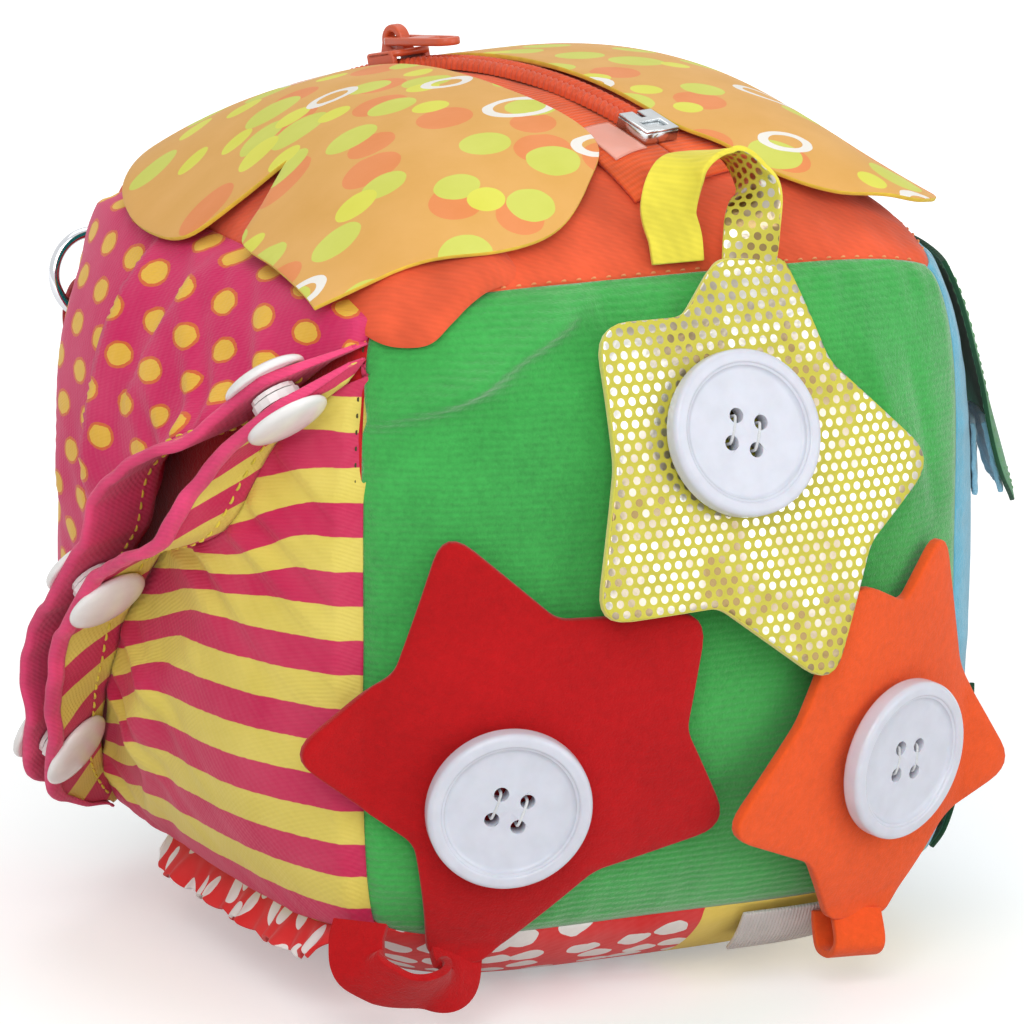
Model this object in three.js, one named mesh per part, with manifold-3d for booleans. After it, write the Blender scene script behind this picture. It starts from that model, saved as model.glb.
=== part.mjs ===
// A soft stuffed activity block: a crowned cloth cube whose faces carry a zip under two printed wings,
// three buttoned felt stars, a snap opening, two leaf flaps and a webbing loop with a ring.
// Millimetres. +Z is up, the face with the stars looks along -Y, the face with the snaps along -X.
// The origin is the middle of the flat that the block rests on.
import * as THREE from 'three';
import { mergeVertices } from 'three/addons/utils/BufferGeometryUtils.js';
import Module from 'manifold-3d';

// Block
const halfX = 60;
const halfY = 64;
const halfZ = 60;
const seamSag = 1;
const cornerPull = 5;
const frontCrown = 15;
const leftCrown = 14.5;
const leftClothCrown = 17.4;
const topCrown = 22;
const bottomCrown = 15.5;
const rightCrown = 18;
const backCrown = 17;
const floorCut = 0.5;
const panelThickness = 1.6;
const clothThickness = 0.8;
const clothSeat = 0.7;
const seatGap = 0.3;
const layGap = 0.5;
const probeStep = 0.05;

// Zip
const zipMiddleX = -1.3;
const zipRise = 1.35;
const zipRadius = 135;
const zipFlatHalf = 4;
const tapeWidth = 14;
const tapeThickness = 0.7;
const coilHalfWidth = 3;
const coilMeetGap = 0.2;
const coilHeight = 2.2;
const toothDepth = 0.5;
const toothPitch = 5;
const zipBackReach = 48;
const zipFrontReach = 52;
const zipFrontDrop = 9;
const boxFromMiddle = -38;
const boxLength = 8;
const boxHalfWidth = 3.8;
const boxHeight = 2.6;
const boxSinkHalfWidth = 2.4;
const boxSinkLength = 2.6;
const boxSinkDepth = 0.6;
const boxProngGap = 1.2;
const boxProngLength = 2.6;
const filmThickness = 0.4;
const filmOuter = 11.6;
const filmLength = 11;
const sliderFromMiddle = 31;
const sliderHalfWidth = 4.6;
const sliderHalfLength = 5;
const sliderPlate = 1.3;
const sliderCornerRadius = 1.6;
const bailThickness = 2.4;
const bailRadius = 3;
const bailHoleRadius = 1.5;
const bailFoot = 4;
const pullHalfWidth = 3.2;
const pullTipHalfWidth = 2.6;
const pullLength = 17;
const pullThickness = 1.5;
const pullBarHalf = 0.7;
const pullWindowHalf = 1.6;
const pullWindowLength = 4.6;
const pullSlotHalf = 1.2;
const pullSlotLength = 4.5;
const pullRim = 1.6;

// Wings over the zip
const wingThickness = 0.9;
const wingSeat = 1.9;
const wingStandOff = 5;
const wingEdgeStep = 13;

// Stars and their buttons
const starReach = 40;
const feltThickness = 2.2;
const starTipRound = 5;
const starEdgeStep = 9;
const slitHalfLength = 15.5;
const slitHalfWidth = 2.1;
const strapWidth = 10;
const strapThickness = 1.4;
const buttonRadius = 14.8;
const buttonThickness = 4;
const buttonDish = 1.1;
const buttonRimWidth = 2.4;
const buttonEdgeRound = 1.1;
const threadHoleRadius = 1.3;
const threadHoleSpacing = 5;
const threadRadius = 0.6;
const threadFoot = 0.4;
const threadShankRadius = 1.5;

// Snap opening: a fin of two hems that bows sideways from the face's diagonal and leans over below
const openingTop = 75;
const openingBottom = -68;
const openingOffset = 5.5;
const openingBow = 3.5;
const openingBowReach = 50;
const upperLeanDegrees = 15;
const lowerLeanDegrees = 35;
const finTaperShare = 0.65;
const finHeight = 15;
const finRise = 1.7;
const finGapHalf = 1.6;
const facingThickness = 0.7;
const middleGape = 6.5;
const lowerGape = 1.5;
const topSnap = 70;
const middleSnap = 8;
const lowerSnap = -38;
const snapHeight = 8.4;
const snapFlatHalf = 8.5;
const capRadius = 7.7;
const capHeight = 2.6;
const capEdge = 0.6;
const postRadius = 1.2;
const postClearance = 0.3;
const socketRadius = 4.6;
const socketHoleRadius = 2.9;
const socketLength = 1.5;
const studPlateRadius = 4.2;
const studPlateThickness = 0.8;
const studRadius = 2.2;
const studLength = 1.4;

// Leaf flaps and their pads, webbing loop with its ring, trims in the bottom seams
const leafRoot = 130;
const leafFrontEdge = -57;
const leafWidth = 42;
const leafLength = 48;
const leafStandOff = 1.8;
const leafFlare = 7;
const lowerLeafRoot = 19;
const lowerLeafLength = 30;
const lowerLeafWidth = 32;
const padWidth = 18;
const padHeight = 14;
const padThickness = 1;
const padMiddleY = -42;
const padMiddleZ = 91;
const webbingWidth = 10;
const webbingThickness = 1.4;
const webbingX = -51;
const webbingLow = 93;
const webbingHigh = 113;
const webbingReach = 10.5;
const ringRadius = 8;
const ringWire = 1.1;
const ringInside = 4.7;
const ringLeanDegrees = 80;
const frillStart = -52;
const frillEnd = 24;
const frillDepth = 7;
const frillWave = 1.2;
const frillWaveLength = 15;
const frillThickness = 1;
const tagWidth = 13;
const tagMiddleX = 22.2;
const tagLength = 10;
const tagThickness = 1;

const wasm = await Module();
wasm.setup();

const centreZ = halfZ + bottomCrown - floorCut;
const halfSizes = [halfX, halfY, halfZ];
const vector = (x, y, z) => new THREE.Vector3(x, y, z);
const inRadians = THREE.MathUtils.degToRad;
const block = new THREE.Group();

// Cloth crowned over stuffing: full in the middle, falling faster towards the seams.
const pillowShare = (t) => 1 - (t * t + t ** 4) / 2;

// The face that the block rests on is pressed flatter in the middle.
const restingShare = (t) => 1 - t ** 4;

const faces = {
  front: { across: [1, 0, 0], up: [0, 0, 1], out: [0, -1, 0], crown: frontCrown, shape: pillowShare },
  left: { across: [0, -1, 0], up: [0, 0, 1], out: [-1, 0, 0], crown: leftCrown, shape: pillowShare },
  top: { across: [1, 0, 0], up: [0, 1, 0], out: [0, 0, 1], crown: topCrown, shape: pillowShare },
  bottom: { across: [1, 0, 0], up: [0, -1, 0], out: [0, 0, -1], crown: bottomCrown, shape: restingShare },
  right: { across: [0, 1, 0], up: [0, 0, 1], out: [1, 0, 0], crown: rightCrown, shape: pillowShare },
  back: { across: [-1, 0, 0], up: [0, 0, 1], out: [0, 1, 0], crown: backCrown, shape: pillowShare },
};
const leftCloth = { ...faces.left, crown: leftClothCrown };

const halfAlong = (axis) => axis.reduce((sum, part, i) => sum + Math.abs(part) * halfSizes[i], 0);
const mix = (from, to, share) => from + (to - from) * share;
const clampShare = (value) => Math.min(1, Math.max(0, value));
const heldShare = (value) => Math.min(1, Math.max(-1, value));
const smooth = (value) => clampShare(value) ** 2 * (3 - 2 * clampShare(value));
const spread = (share, reachShare) => (share * 2 - 1) * reachShare;

// How far a seam lies inside the plain cube edge, at place t from -1 to 1 along it.
const seamInset = (t) => seamSag * (1 - t * t) + cornerPull * t ** 4;

// Height of a face over the block's middle at face place (u, v), each from -1 to 1.
function faceHeight(face, u, v, lift) {
  const nearU = Math.abs(u) ** 4;
  const nearV = Math.abs(v) ** 4;
  const seamDrop = nearU * seamInset(v) + nearV * seamInset(u) - nearU * nearV * cornerPull;
  return halfAlong(face.out) + lift - seamDrop + face.crown * face.shape(u) * face.shape(v);
}

// Point of a face at (u, v), lifted off the cover by lift. Nothing goes below the floor.
function facePoint(face, u, v, lift) {
  const a = u * (halfAlong(face.across) + lift - Math.abs(u) ** 4 * seamInset(v));
  const b = v * (halfAlong(face.up) + lift - Math.abs(v) ** 4 * seamInset(u));
  const point = vector(...face.across).multiplyScalar(a);
  point.addScaledVector(vector(...face.up), b);
  point.addScaledVector(vector(...face.out), faceHeight(face, u, v, lift));
  point.z = Math.max(point.z + centreZ, -lift);
  return point;
}

// The (u, v) of a place given in millimetres across and up the face, found by repeated division.
function facePlace(face, a, b) {
  let u = a / halfAlong(face.across);
  let v = b / halfAlong(face.up);
  for (let turn = 0; turn < 8; turn += 1) {
    const insetA = clampShare(Math.abs(u)) ** 4 * seamInset(heldShare(v));
    const insetB = clampShare(Math.abs(v)) ** 4 * seamInset(heldShare(u));
    u = a / (halfAlong(face.across) - insetA);
    v = b / (halfAlong(face.up) - insetB);
  }
  return [u, v];
}

// Point over a place of a face, straight out from it by lift.
function onFace(face, a, b, lift) {
  const [u, v] = facePlace(face, a, b);
  const point = vector(...face.across).multiplyScalar(a);
  point.addScaledVector(vector(...face.up), b);
  point.addScaledVector(vector(...face.out), faceHeight(face, u, v, lift));
  point.z += centreZ;
  return point;
}

// The geometry with its triangles turned so that they look out of the body.
function facingOut(geometry) {
  const places = geometry.attributes.position;
  const corner = (i) => vector().fromBufferAttribute(places, i);
  const index = Array.from(geometry.index.array);
  let volume = 0;
  for (let i = 0; i < index.length; i += 3) {
    volume += corner(index[i]).dot(corner(index[i + 1]).cross(corner(index[i + 2])));
  }
  if (volume < 0) geometry.setIndex(index.reverse());
  return geometry;
}

function closedBody(points, triangles) {
  const geometry = new THREE.BufferGeometry();
  const positions = new THREE.Float32BufferAttribute(points.flatMap((p) => p.toArray()), 3);
  geometry.setAttribute('position', positions);
  geometry.setIndex(triangles.flat());
  return facingOut(geometry);
}

// Sheet with two skins on one grid, joined by a wall round the rim.
function sheetBetween(outerAt, innerAt, columns, rows) {
  const width = columns + 1;
  const layer = width * (rows + 1);
  const points = [];
  for (const pointAt of [outerAt, innerAt]) {
    for (let row = 0; row <= rows; row += 1) {
      for (let column = 0; column <= columns; column += 1) {
        points.push(pointAt(column / columns, row / rows));
      }
    }
  }
  const triangles = [];
  for (let row = 0; row < rows; row += 1) {
    for (let column = 0; column < columns; column += 1) {
      const i = row * width + column;
      triangles.push([i, i + 1, i + width + 1], [i, i + width + 1, i + width]);
      triangles.push([layer + i, layer + i + width + 1, layer + i + 1]);
      triangles.push([layer + i, layer + i + width, layer + i + width + 1]);
    }
  }
  const rim = [];
  for (let column = 0; column < columns; column += 1) rim.push(column);
  for (let row = 0; row < rows; row += 1) rim.push(row * width + columns);
  for (let column = columns; column > 0; column -= 1) rim.push(rows * width + column);
  for (let row = rows; row > 0; row -= 1) rim.push(row * width);
  rim.forEach((i, place) => {
    const j = rim[(place + 1) % rim.length];
    triangles.push([j, i, layer + i], [j, layer + i, layer + j]);
  });
  return closedBody(points, triangles);
}

// Unit normal of a surface placeAt(a, b), from its slopes.
function normalAt(placeAt, a, b, step) {
  const alongA = placeAt(a + step, b).sub(placeAt(a - step, b));
  const alongB = placeAt(a, b + step).sub(placeAt(a, b - step));
  return alongA.cross(alongB).normalize();
}

// Sheet of even thickness whose middle is placeAt(share, share).
function evenSheet(placeAt, thickness, columns, rows) {
  const stepShare = 1e-3;
  const offset = (side) => (s, t) => {
    const normal = normalAt(placeAt, s, t, stepShare);
    return placeAt(s, t).addScaledVector(normal, (side * thickness) / 2);
  };
  return sheetBetween(offset(1), offset(-1), columns, rows);
}

// Plate cut to an outline and laid on a surface, on rings from its middle, or from a slit, to the rim.
function cutPlate(outline, middle, slit, rings, placeAt, thickness) {
  const count = outline.length;
  const first = slit ? 0 : 1;
  const points = [];
  for (const side of [1, -1]) {
    const raised = (a, b) => {
      const normal = normalAt(placeAt, a, b, probeStep);
      return placeAt(a, b).addScaledVector(normal, (side * thickness) / 2);
    };
    for (let ring = first; ring <= rings; ring += 1) {
      outline.forEach(([a, b], i) => {
        const [fromA, fromB] = slit ? slit[i] : middle;
        points.push(raised(mix(fromA, a, ring / rings), mix(fromB, b, ring / rings)));
      });
    }
    if (!slit) points.push(raised(...middle));
  }
  const layer = points.length / 2;
  const triangles = [];
  for (let i = 0; i < count; i += 1) {
    const j = (i + 1) % count;
    for (let ring = 0; ring < rings - first; ring += 1) {
      const low = ring * count;
      const high = low + count;
      triangles.push([low + i, high + i, high + j], [low + i, high + j, low + j]);
      triangles.push([layer + low + i, layer + high + j, layer + high + i]);
      triangles.push([layer + low + i, layer + low + j, layer + high + j]);
    }
    const rim = (rings - first) * count;
    triangles.push([rim + j, rim + i, layer + rim + i], [rim + j, layer + rim + i, layer + rim + j]);
    if (slit) {
      triangles.push([i, j, layer + j], [i, layer + j, layer + i]);
    } else {
      triangles.push([layer - 1, i, j], [2 * layer - 1, layer + j, layer + i]);
    }
  }
  return closedBody(points, triangles);
}

// Outline with points added so that no edge is much longer than a step.
function finerOutline(points, edgeStep) {
  return points.flatMap(([a, b], i) => {
    const [nextA, nextB] = points[(i + 1) % points.length];
    const steps = Math.max(1, Math.round(Math.hypot(nextA - a, nextB - b) / edgeStep));
    return Array.from({ length: steps }, (_, k) => [mix(a, nextA, k / steps), mix(b, nextB, k / steps)]);
  });
}

// Flat band that follows a curve; its width turns from one given direction to the next.
function band(path, widthDirections, width, thickness, steps) {
  const curve = new THREE.CatmullRomCurve3(path, false, 'centripetal');
  const skin = (side) => (s, t) => {
    const place = t * (widthDirections.length - 1);
    const low = Math.min(Math.floor(place), widthDirections.length - 2);
    const across = vector(...widthDirections[low]).lerp(vector(...widthDirections[low + 1]), place - low);
    const along = curve.getTangentAt(t);
    across.addScaledVector(along, -across.dot(along)).normalize();
    const point = curve.getPointAt(t).addScaledVector(across, (s - 1 / 2) * width);
    return point.addScaledVector(along.cross(across), (side * thickness) / 2);
  };
  return sheetBetween(skin(1), skin(-1), 2, steps);
}

// Joining and cutting of closed bodies.
function solidOf(geometry) {
  const bare = geometry.clone();
  bare.deleteAttribute('normal');
  bare.deleteAttribute('uv');
  const merged = mergeVertices(bare);
  return new wasm.Manifold(new wasm.Mesh({
    numProp: 3,
    vertProperties: new Float32Array(merged.attributes.position.array),
    triVerts: new Uint32Array(merged.index.array),
  }));
}

function geometryOf(solid) {
  const mesh = solid.getMesh();
  const geometry = new THREE.BufferGeometry();
  geometry.setAttribute('position', new THREE.Float32BufferAttribute(mesh.vertProperties, 3));
  geometry.setIndex(Array.from(mesh.triVerts));
  return geometry;
}

const joined = (...parts) => geometryOf(parts.map(solidOf).reduce((sum, part) => sum.add(part)));
const cut = (body, ...tools) => {
  return geometryOf(tools.map(solidOf).reduce((rest, tool) => rest.subtract(tool), solidOf(body)));
};

function addPiece(name, geometry, color, roughness, metalness = 0) {
  const mesh = new THREE.Mesh(geometry, new THREE.MeshStandardMaterial({ color, roughness, metalness }));
  mesh.name = name;
  block.add(mesh);
}

// Placement whose own +Z looks outward and +X sideways, at a point.
function standing(origin, outward, sideways) {
  const across = sideways.clone().addScaledVector(outward, -sideways.dot(outward)).normalize();
  return new THREE.Matrix4().makeBasis(across, outward.clone().cross(across), outward).setPosition(origin);
}

// Body of revolution about +Z from (radius, height) pairs that start and end on the axis.
function turned(profile, segments) {
  const points = profile.map(([radius, height]) => new THREE.Vector2(radius, height));
  return facingOut(new THREE.LatheGeometry(points, segments).rotateX(Math.PI / 2));
}

function peg(radius, low, high, segments) {
  return turned([[0, low], [radius, low], [radius, high], [0, high]], segments);
}

// Rectangle with round corners, as an outline or as a hole.
function roundedBox(path, x0, y0, x1, y1, radius) {
  path.moveTo(x0 + radius, y0);
  path.lineTo(x1 - radius, y0);
  path.absarc(x1 - radius, y0 + radius, radius, -Math.PI / 2, 0);
  path.lineTo(x1, y1 - radius);
  path.absarc(x1 - radius, y1 - radius, radius, 0, Math.PI / 2);
  path.lineTo(x0 + radius, y1);
  path.absarc(x0 + radius, y1 - radius, radius, Math.PI / 2, Math.PI);
  path.lineTo(x0, y0 + radius);
  path.absarc(x0 + radius, y0 + radius, radius, Math.PI, Math.PI * 1.5);
  return path;
}

function slab(shape, depth, curveSegments = 3) {
  return new THREE.ExtrudeGeometry(shape, { depth, bevelEnabled: false, curveSegments });
}

// Six cover panels, each a crowned cloth shell that stops short of its seams by half the seam gap.
const panelLooks = {
  top: ['top_panel', 0xe8562c],
  front: ['front_panel', 0x3fae4c],
  left: ['opening_base', 0xcf1f22],
  right: ['right_panel', 0x6db6dc],
  back: ['back_panel', 0x2b9a9a],
  bottom: ['bottom_panel', 0xf0cf4a],
};
const panelCells = 10;
const coverEdgeShare = 1 - seatGap / halfX;
for (const [side, [name, color]] of Object.entries(panelLooks)) {
  const face = faces[side];
  const skin = (lift) => (s, t) => facePoint(face, spread(s, coverEdgeShare), spread(t, coverEdgeShare), lift);
  addPiece(name, sheetBetween(skin(0), skin(-panelThickness), panelCells, panelCells), color, 0.9);
}

// The filling: the same pillow shape inside the panels, one closed body from six patches.
const fillingCells = panelCells;
const fillingWidth = fillingCells + 1;
const fillingPoints = [];
const fillingTriangles = [];
for (const face of Object.values(faces)) {
  const start = fillingPoints.length;
  for (let place = 0; place < fillingWidth ** 2; place += 1) {
    const column = place % fillingWidth;
    const row = (place - column) / fillingWidth;
    const u = spread(column / fillingCells, 1);
    const v = spread(row / fillingCells, 1);
    fillingPoints.push(facePoint(face, u, v, -panelThickness - seatGap));
    if (column < fillingCells && row < fillingCells) {
      const i = start + place;
      fillingTriangles.push([i, i + 1, i + fillingWidth + 1], [i, i + fillingWidth + 1, i + fillingWidth]);
    }
  }
}
addPiece('filling', mergeVertices(closedBody(fillingPoints, fillingTriangles), probeStep), 0xf4f2ec, 1);

// Level of the top cover at a place, carried straight on past its outer part.
function topLevelAt(x, y) {
  const bendShare = 0.85;
  const heldX = halfX * Math.min(bendShare, Math.max(-bendShare, x / halfX));
  const heldY = halfY * Math.min(bendShare, Math.max(-bendShare, y / halfY));
  const level = (a, b) => onFace(faces.top, a, b, 0).z;
  const slopeX = (level(heldX + probeStep, heldY) - level(heldX - probeStep, heldY)) / (2 * probeStep);
  const slopeY = (level(heldX, heldY + probeStep) - level(heldX, heldY - probeStep)) / (2 * probeStep);
  return level(heldX, heldY) + slopeX * (x - heldX) + slopeY * (y - heldY);
}

// Zip: the chain is an upright arc over the top, turned a little in plan. The distance along it grows
// towards the back, the distance across it towards the right.
const zipTurn = inRadians(15.7);
const zipTop = topLevelAt(zipMiddleX, 0) + zipRise;
const zipAcross = vector(Math.cos(zipTurn), Math.sin(zipTurn), 0);
const zipAlong = vector(-Math.sin(zipTurn), Math.cos(zipTurn), 0);

function zipPoint(along, across, height) {
  const angle = along / zipRadius;
  const point = vector(zipMiddleX, 0, zipTop - zipRadius).addScaledVector(zipAcross, across);
  point.addScaledVector(zipAlong, (zipRadius + height) * Math.sin(angle));
  point.z += (zipRadius + height) * Math.cos(angle);
  return point;
}

function zipStand(along) {
  const outward = zipPoint(along, 0, 1).sub(zipPoint(along, 0, 0));
  return standing(zipPoint(along, 0, 0), outward, zipAcross);
}

// Level of the tape's middle: the arc near the chain, the top cover further out and past the front end.
function bedLevel(x, y) {
  const offset = vector(x - zipMiddleX, y, 0);
  const along = offset.dot(zipAlong);
  const across = offset.dot(zipAcross);
  const arcLevel = zipTop - zipRadius + Math.sqrt(zipRadius ** 2 - Math.min(along ** 2, halfY ** 2));
  const sideShare = smooth((Math.abs(across) - zipFlatHalf) / (tapeWidth - zipFlatHalf));
  const endShare = smooth((boxFromMiddle - boxLength / 2 - along) / zipFrontDrop);
  return mix(arcLevel, topLevelAt(x, y) + tapeThickness / 2 + seatGap * 2, Math.max(sideShare, endShare));
}

const coilBase = tapeThickness / 2 + seatGap;
const boxBack = boxFromMiddle + boxLength / 2;
for (const [name, side] of [['left', -1], ['right', 1]]) {
  const tape = (s, t) => {
    const point = zipPoint(mix(-zipFrontReach, zipBackReach, t), side * mix(coilMeetGap, tapeWidth, s), 0);
    point.z = bedLevel(point.x, point.y);
    return point;
  };
  addPiece(`zip_tape_${name}`, evenSheet(tape, tapeThickness, 5, 12), 0xec5a2a, 0.85);

  const chainStart = boxBack + seatGap;
  const teeth = Math.round((zipBackReach - chainStart) / toothPitch);
  const coil = (high) => (s, t) => {
    const valley = Math.round(t * teeth * 2) % 2;
    const across = side * mix(coilMeetGap, coilHalfWidth - valley * toothDepth, s);
    const height = high ? coilBase + coilHeight - valley * toothDepth : coilBase;
    return zipPoint(mix(chainStart, zipBackReach, t), across, height);
  };
  addPiece(`zip_coil_${name}`, sheetBetween(coil(true), coil(false), 1, teeth * 2), 0xe8492a, 0.6);
}

// Metal box at the front end of the chain: two prongs towards the chain and a sunk panel.
const boxHalf = boxLength / 2;
const boxShape = new THREE.Shape();
boxShape.moveTo(-boxHalfWidth, -boxHalf);
boxShape.lineTo(boxHalfWidth, -boxHalf);
boxShape.lineTo(boxHalfWidth, boxHalf);
boxShape.lineTo(boxProngGap / 2, boxHalf);
boxShape.lineTo(boxProngGap / 2, boxHalf - boxProngLength);
boxShape.lineTo(-boxProngGap / 2, boxHalf - boxProngLength);
boxShape.lineTo(-boxProngGap / 2, boxHalf);
boxShape.lineTo(-boxHalfWidth, boxHalf);
const boxSink = new THREE.BoxGeometry(2 * boxSinkHalfWidth, boxSinkLength, 2 * boxSinkDepth);
boxSink.translate(0, -boxProngLength / 2, coilBase + boxHeight);
const boxBody = cut(slab(boxShape, boxHeight).translate(0, 0, coilBase), boxSink);
addPiece('zip_box', boxBody.applyMatrix4(zipStand(boxFromMiddle)), 0xc9ccd2, 0.25, 1);

// Clear film that stiffens the end of the left tape, beside the box.
const filmPlace = (s, t) => {
  const across = -mix(boxHalfWidth + layGap, filmOuter, s);
  const point = zipPoint(boxFromMiddle + spread(t, 1 / 2) * filmLength, across, 0);
  point.z = bedLevel(point.x, point.y) + tapeThickness / 2 + seatGap + filmThickness / 2;
  return point;
};
addPiece('zip_end_film', evenSheet(filmPlace, filmThickness, 4, 4), 0xf0907a, 0.3);

// Slider: a plate with two flanges over the chain and an arched bail with a round eye.
const plateBase = coilBase + coilHeight + seatGap;
const plateTop = plateBase + sliderPlate;
const plateShape = roundedBox(
  new THREE.Shape(), -sliderHalfWidth, -sliderHalfLength, sliderHalfWidth, sliderHalfLength, sliderCornerRadius,
);
const sliderTop = slab(plateShape, sliderPlate).translate(0, 0, plateBase);
const flangeInner = coilHalfWidth + seatGap;
const flangeLength = 2 * (sliderHalfLength - sliderCornerRadius);
const flanges = [-1, 1].map((side) => {
  const height = plateBase - coilBase + sliderPlate / 2;
  const flange = new THREE.BoxGeometry(sliderHalfWidth - flangeInner, flangeLength, height);
  return flange.translate((side * (sliderHalfWidth + flangeInner)) / 2, 0, coilBase + height / 2);
});
const eyeHeight = plateTop + bailHoleRadius + seatGap;
const bailShape = new THREE.Shape();
bailShape.moveTo(-bailFoot, plateBase + sliderPlate / 2);
bailShape.lineTo(bailFoot, plateBase + sliderPlate / 2);
bailShape.lineTo(bailRadius, eyeHeight);
bailShape.absarc(0, eyeHeight, bailRadius, 0, Math.PI);
bailShape.holes.push(new THREE.Path().absarc(0, eyeHeight, bailHoleRadius, 0, 2 * Math.PI, true));
const bail = slab(bailShape, bailThickness, 8);
bail.applyMatrix4(new THREE.Matrix4().makeBasis(vector(0, 1, 0), vector(0, 0, 1), vector(1, 0, 0)));
bail.translate(-bailThickness / 2, 0, 0);
const sliderBody = joined(sliderTop, ...flanges, bail);
addPiece('zip_slider', sliderBody.applyMatrix4(zipStand(sliderFromMiddle)), 0xd9502a, 0.35);

// Pull: a flat tab with a window that takes the bail, a bar through the eye and a slot near the tip.
const pullShape = new THREE.Shape();
pullShape.moveTo(-pullHalfWidth, pullBarHalf);
pullShape.lineTo(-pullTipHalfWidth, pullTipHalfWidth - pullLength);
pullShape.absarc(0, pullTipHalfWidth - pullLength, pullTipHalfWidth, Math.PI, 2 * Math.PI);
pullShape.lineTo(pullHalfWidth, pullBarHalf);
const windowEnd = -pullBarHalf - pullWindowLength;
const slotEnd = pullRim - pullLength;
pullShape.holes.push(
  roundedBox(new THREE.Path(), -pullWindowHalf, windowEnd, pullWindowHalf, -pullBarHalf, pullBarHalf / 2),
  roundedBox(new THREE.Path(), -pullSlotHalf, slotEnd, pullSlotHalf, slotEnd + pullSlotLength, pullSlotHalf / 2),
);
const pullTilt = inRadians(6);
const pull = slab(pullShape, pullThickness).translate(0, 0, -pullThickness / 2);
pull.rotateX(pullTilt).translate(0, 0, eyeHeight);
addPiece('zip_pull', pull.applyMatrix4(zipStand(sliderFromMiddle)), 0xd9502a, 0.35);

// Two printed wings, each sewn along its inner edge beside the chain and loose elsewhere.
// Outline points go round from the back. The first share runs out from the slider's way to the block's
// half width, the second is of its half depth.
const leftWingShares = [
  [0.007, 0.59], [0.064, 0.2], [0.119, -0.22], [0.141, -0.62], [0.303, -0.78], [0.531, -0.91],
  [0.774, -0.95], [1.001, -0.91], [1.185, -0.87], [1.317, -0.84], [1.211, -0.55], [1.101, -0.28],
  [0.951, -0.19], [0.791, -0.1], [0.927, -0.05], [1.043, 0.03], [1.014, 0.22], [0.92, 0.44],
  [0.763, 0.65], [0.525, 0.81], [0.245, 0.83], [0.034, 0.74],
];
const rightWingShares = [
  [0.057, 0.62], [0.05, 0.33], [0.024, -0.15], [0.013, -0.55], [0.094, -0.67], [0.175, -0.79],
  [0.338, -0.86], [0.538, -0.85], [0.704, -0.81], [0.852, -0.69], [0.925, -0.4], [0.864, -0.22],
  [0.766, -0.12], [0.945, -0.04], [1.12, 0.06], [1.231, 0.3], [1.262, 0.56], [1.137, 0.78],
  [0.895, 0.84], [0.547, 0.78], [0.251, 0.71],
];
const sliderWay = sliderHalfWidth + layGap;
const wingPlace = (side) => ([outShare, alongShare]) => {
  const y = alongShare * halfY;
  const zipX = zipMiddleX - Math.tan(zipTurn) * y;
  return [zipX + side * mix(sliderWay, halfX, outShare), y];
};
const wings = [
  ['wing_left', leftWingShares, [0.436, -0.02], -1, 0],
  ['wing_right', rightWingShares, [0.547, -0.02], 1, wingStandOff],
];
for (const [name, shares, middleShares, side, standOff] of wings) {
  const outline = finerOutline(shares.map(wingPlace(side)), wingEdgeStep);
  const middle = wingPlace(side)(middleShares);
  const wingAt = (x, y) => {
    const away = Math.abs(vector(x - zipMiddleX, y, 0).dot(zipAcross)) / halfX;
    return vector(x, y, bedLevel(x, y) + wingSeat + standOff * smooth(away));
  };
  addPiece(name, cutPlate(outline, middle, null, 4, wingAt, wingThickness), 0xf0a850, 0.8);
}

// Distance of the front cover before the block's middle, level past its side seams.
function frontDepth(x, z) {
  const [u, v] = facePlace(faces.front, x, z - centreZ);
  return faceHeight(faces.front, heldShare(u), heldShare(v), 0);
}

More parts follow.
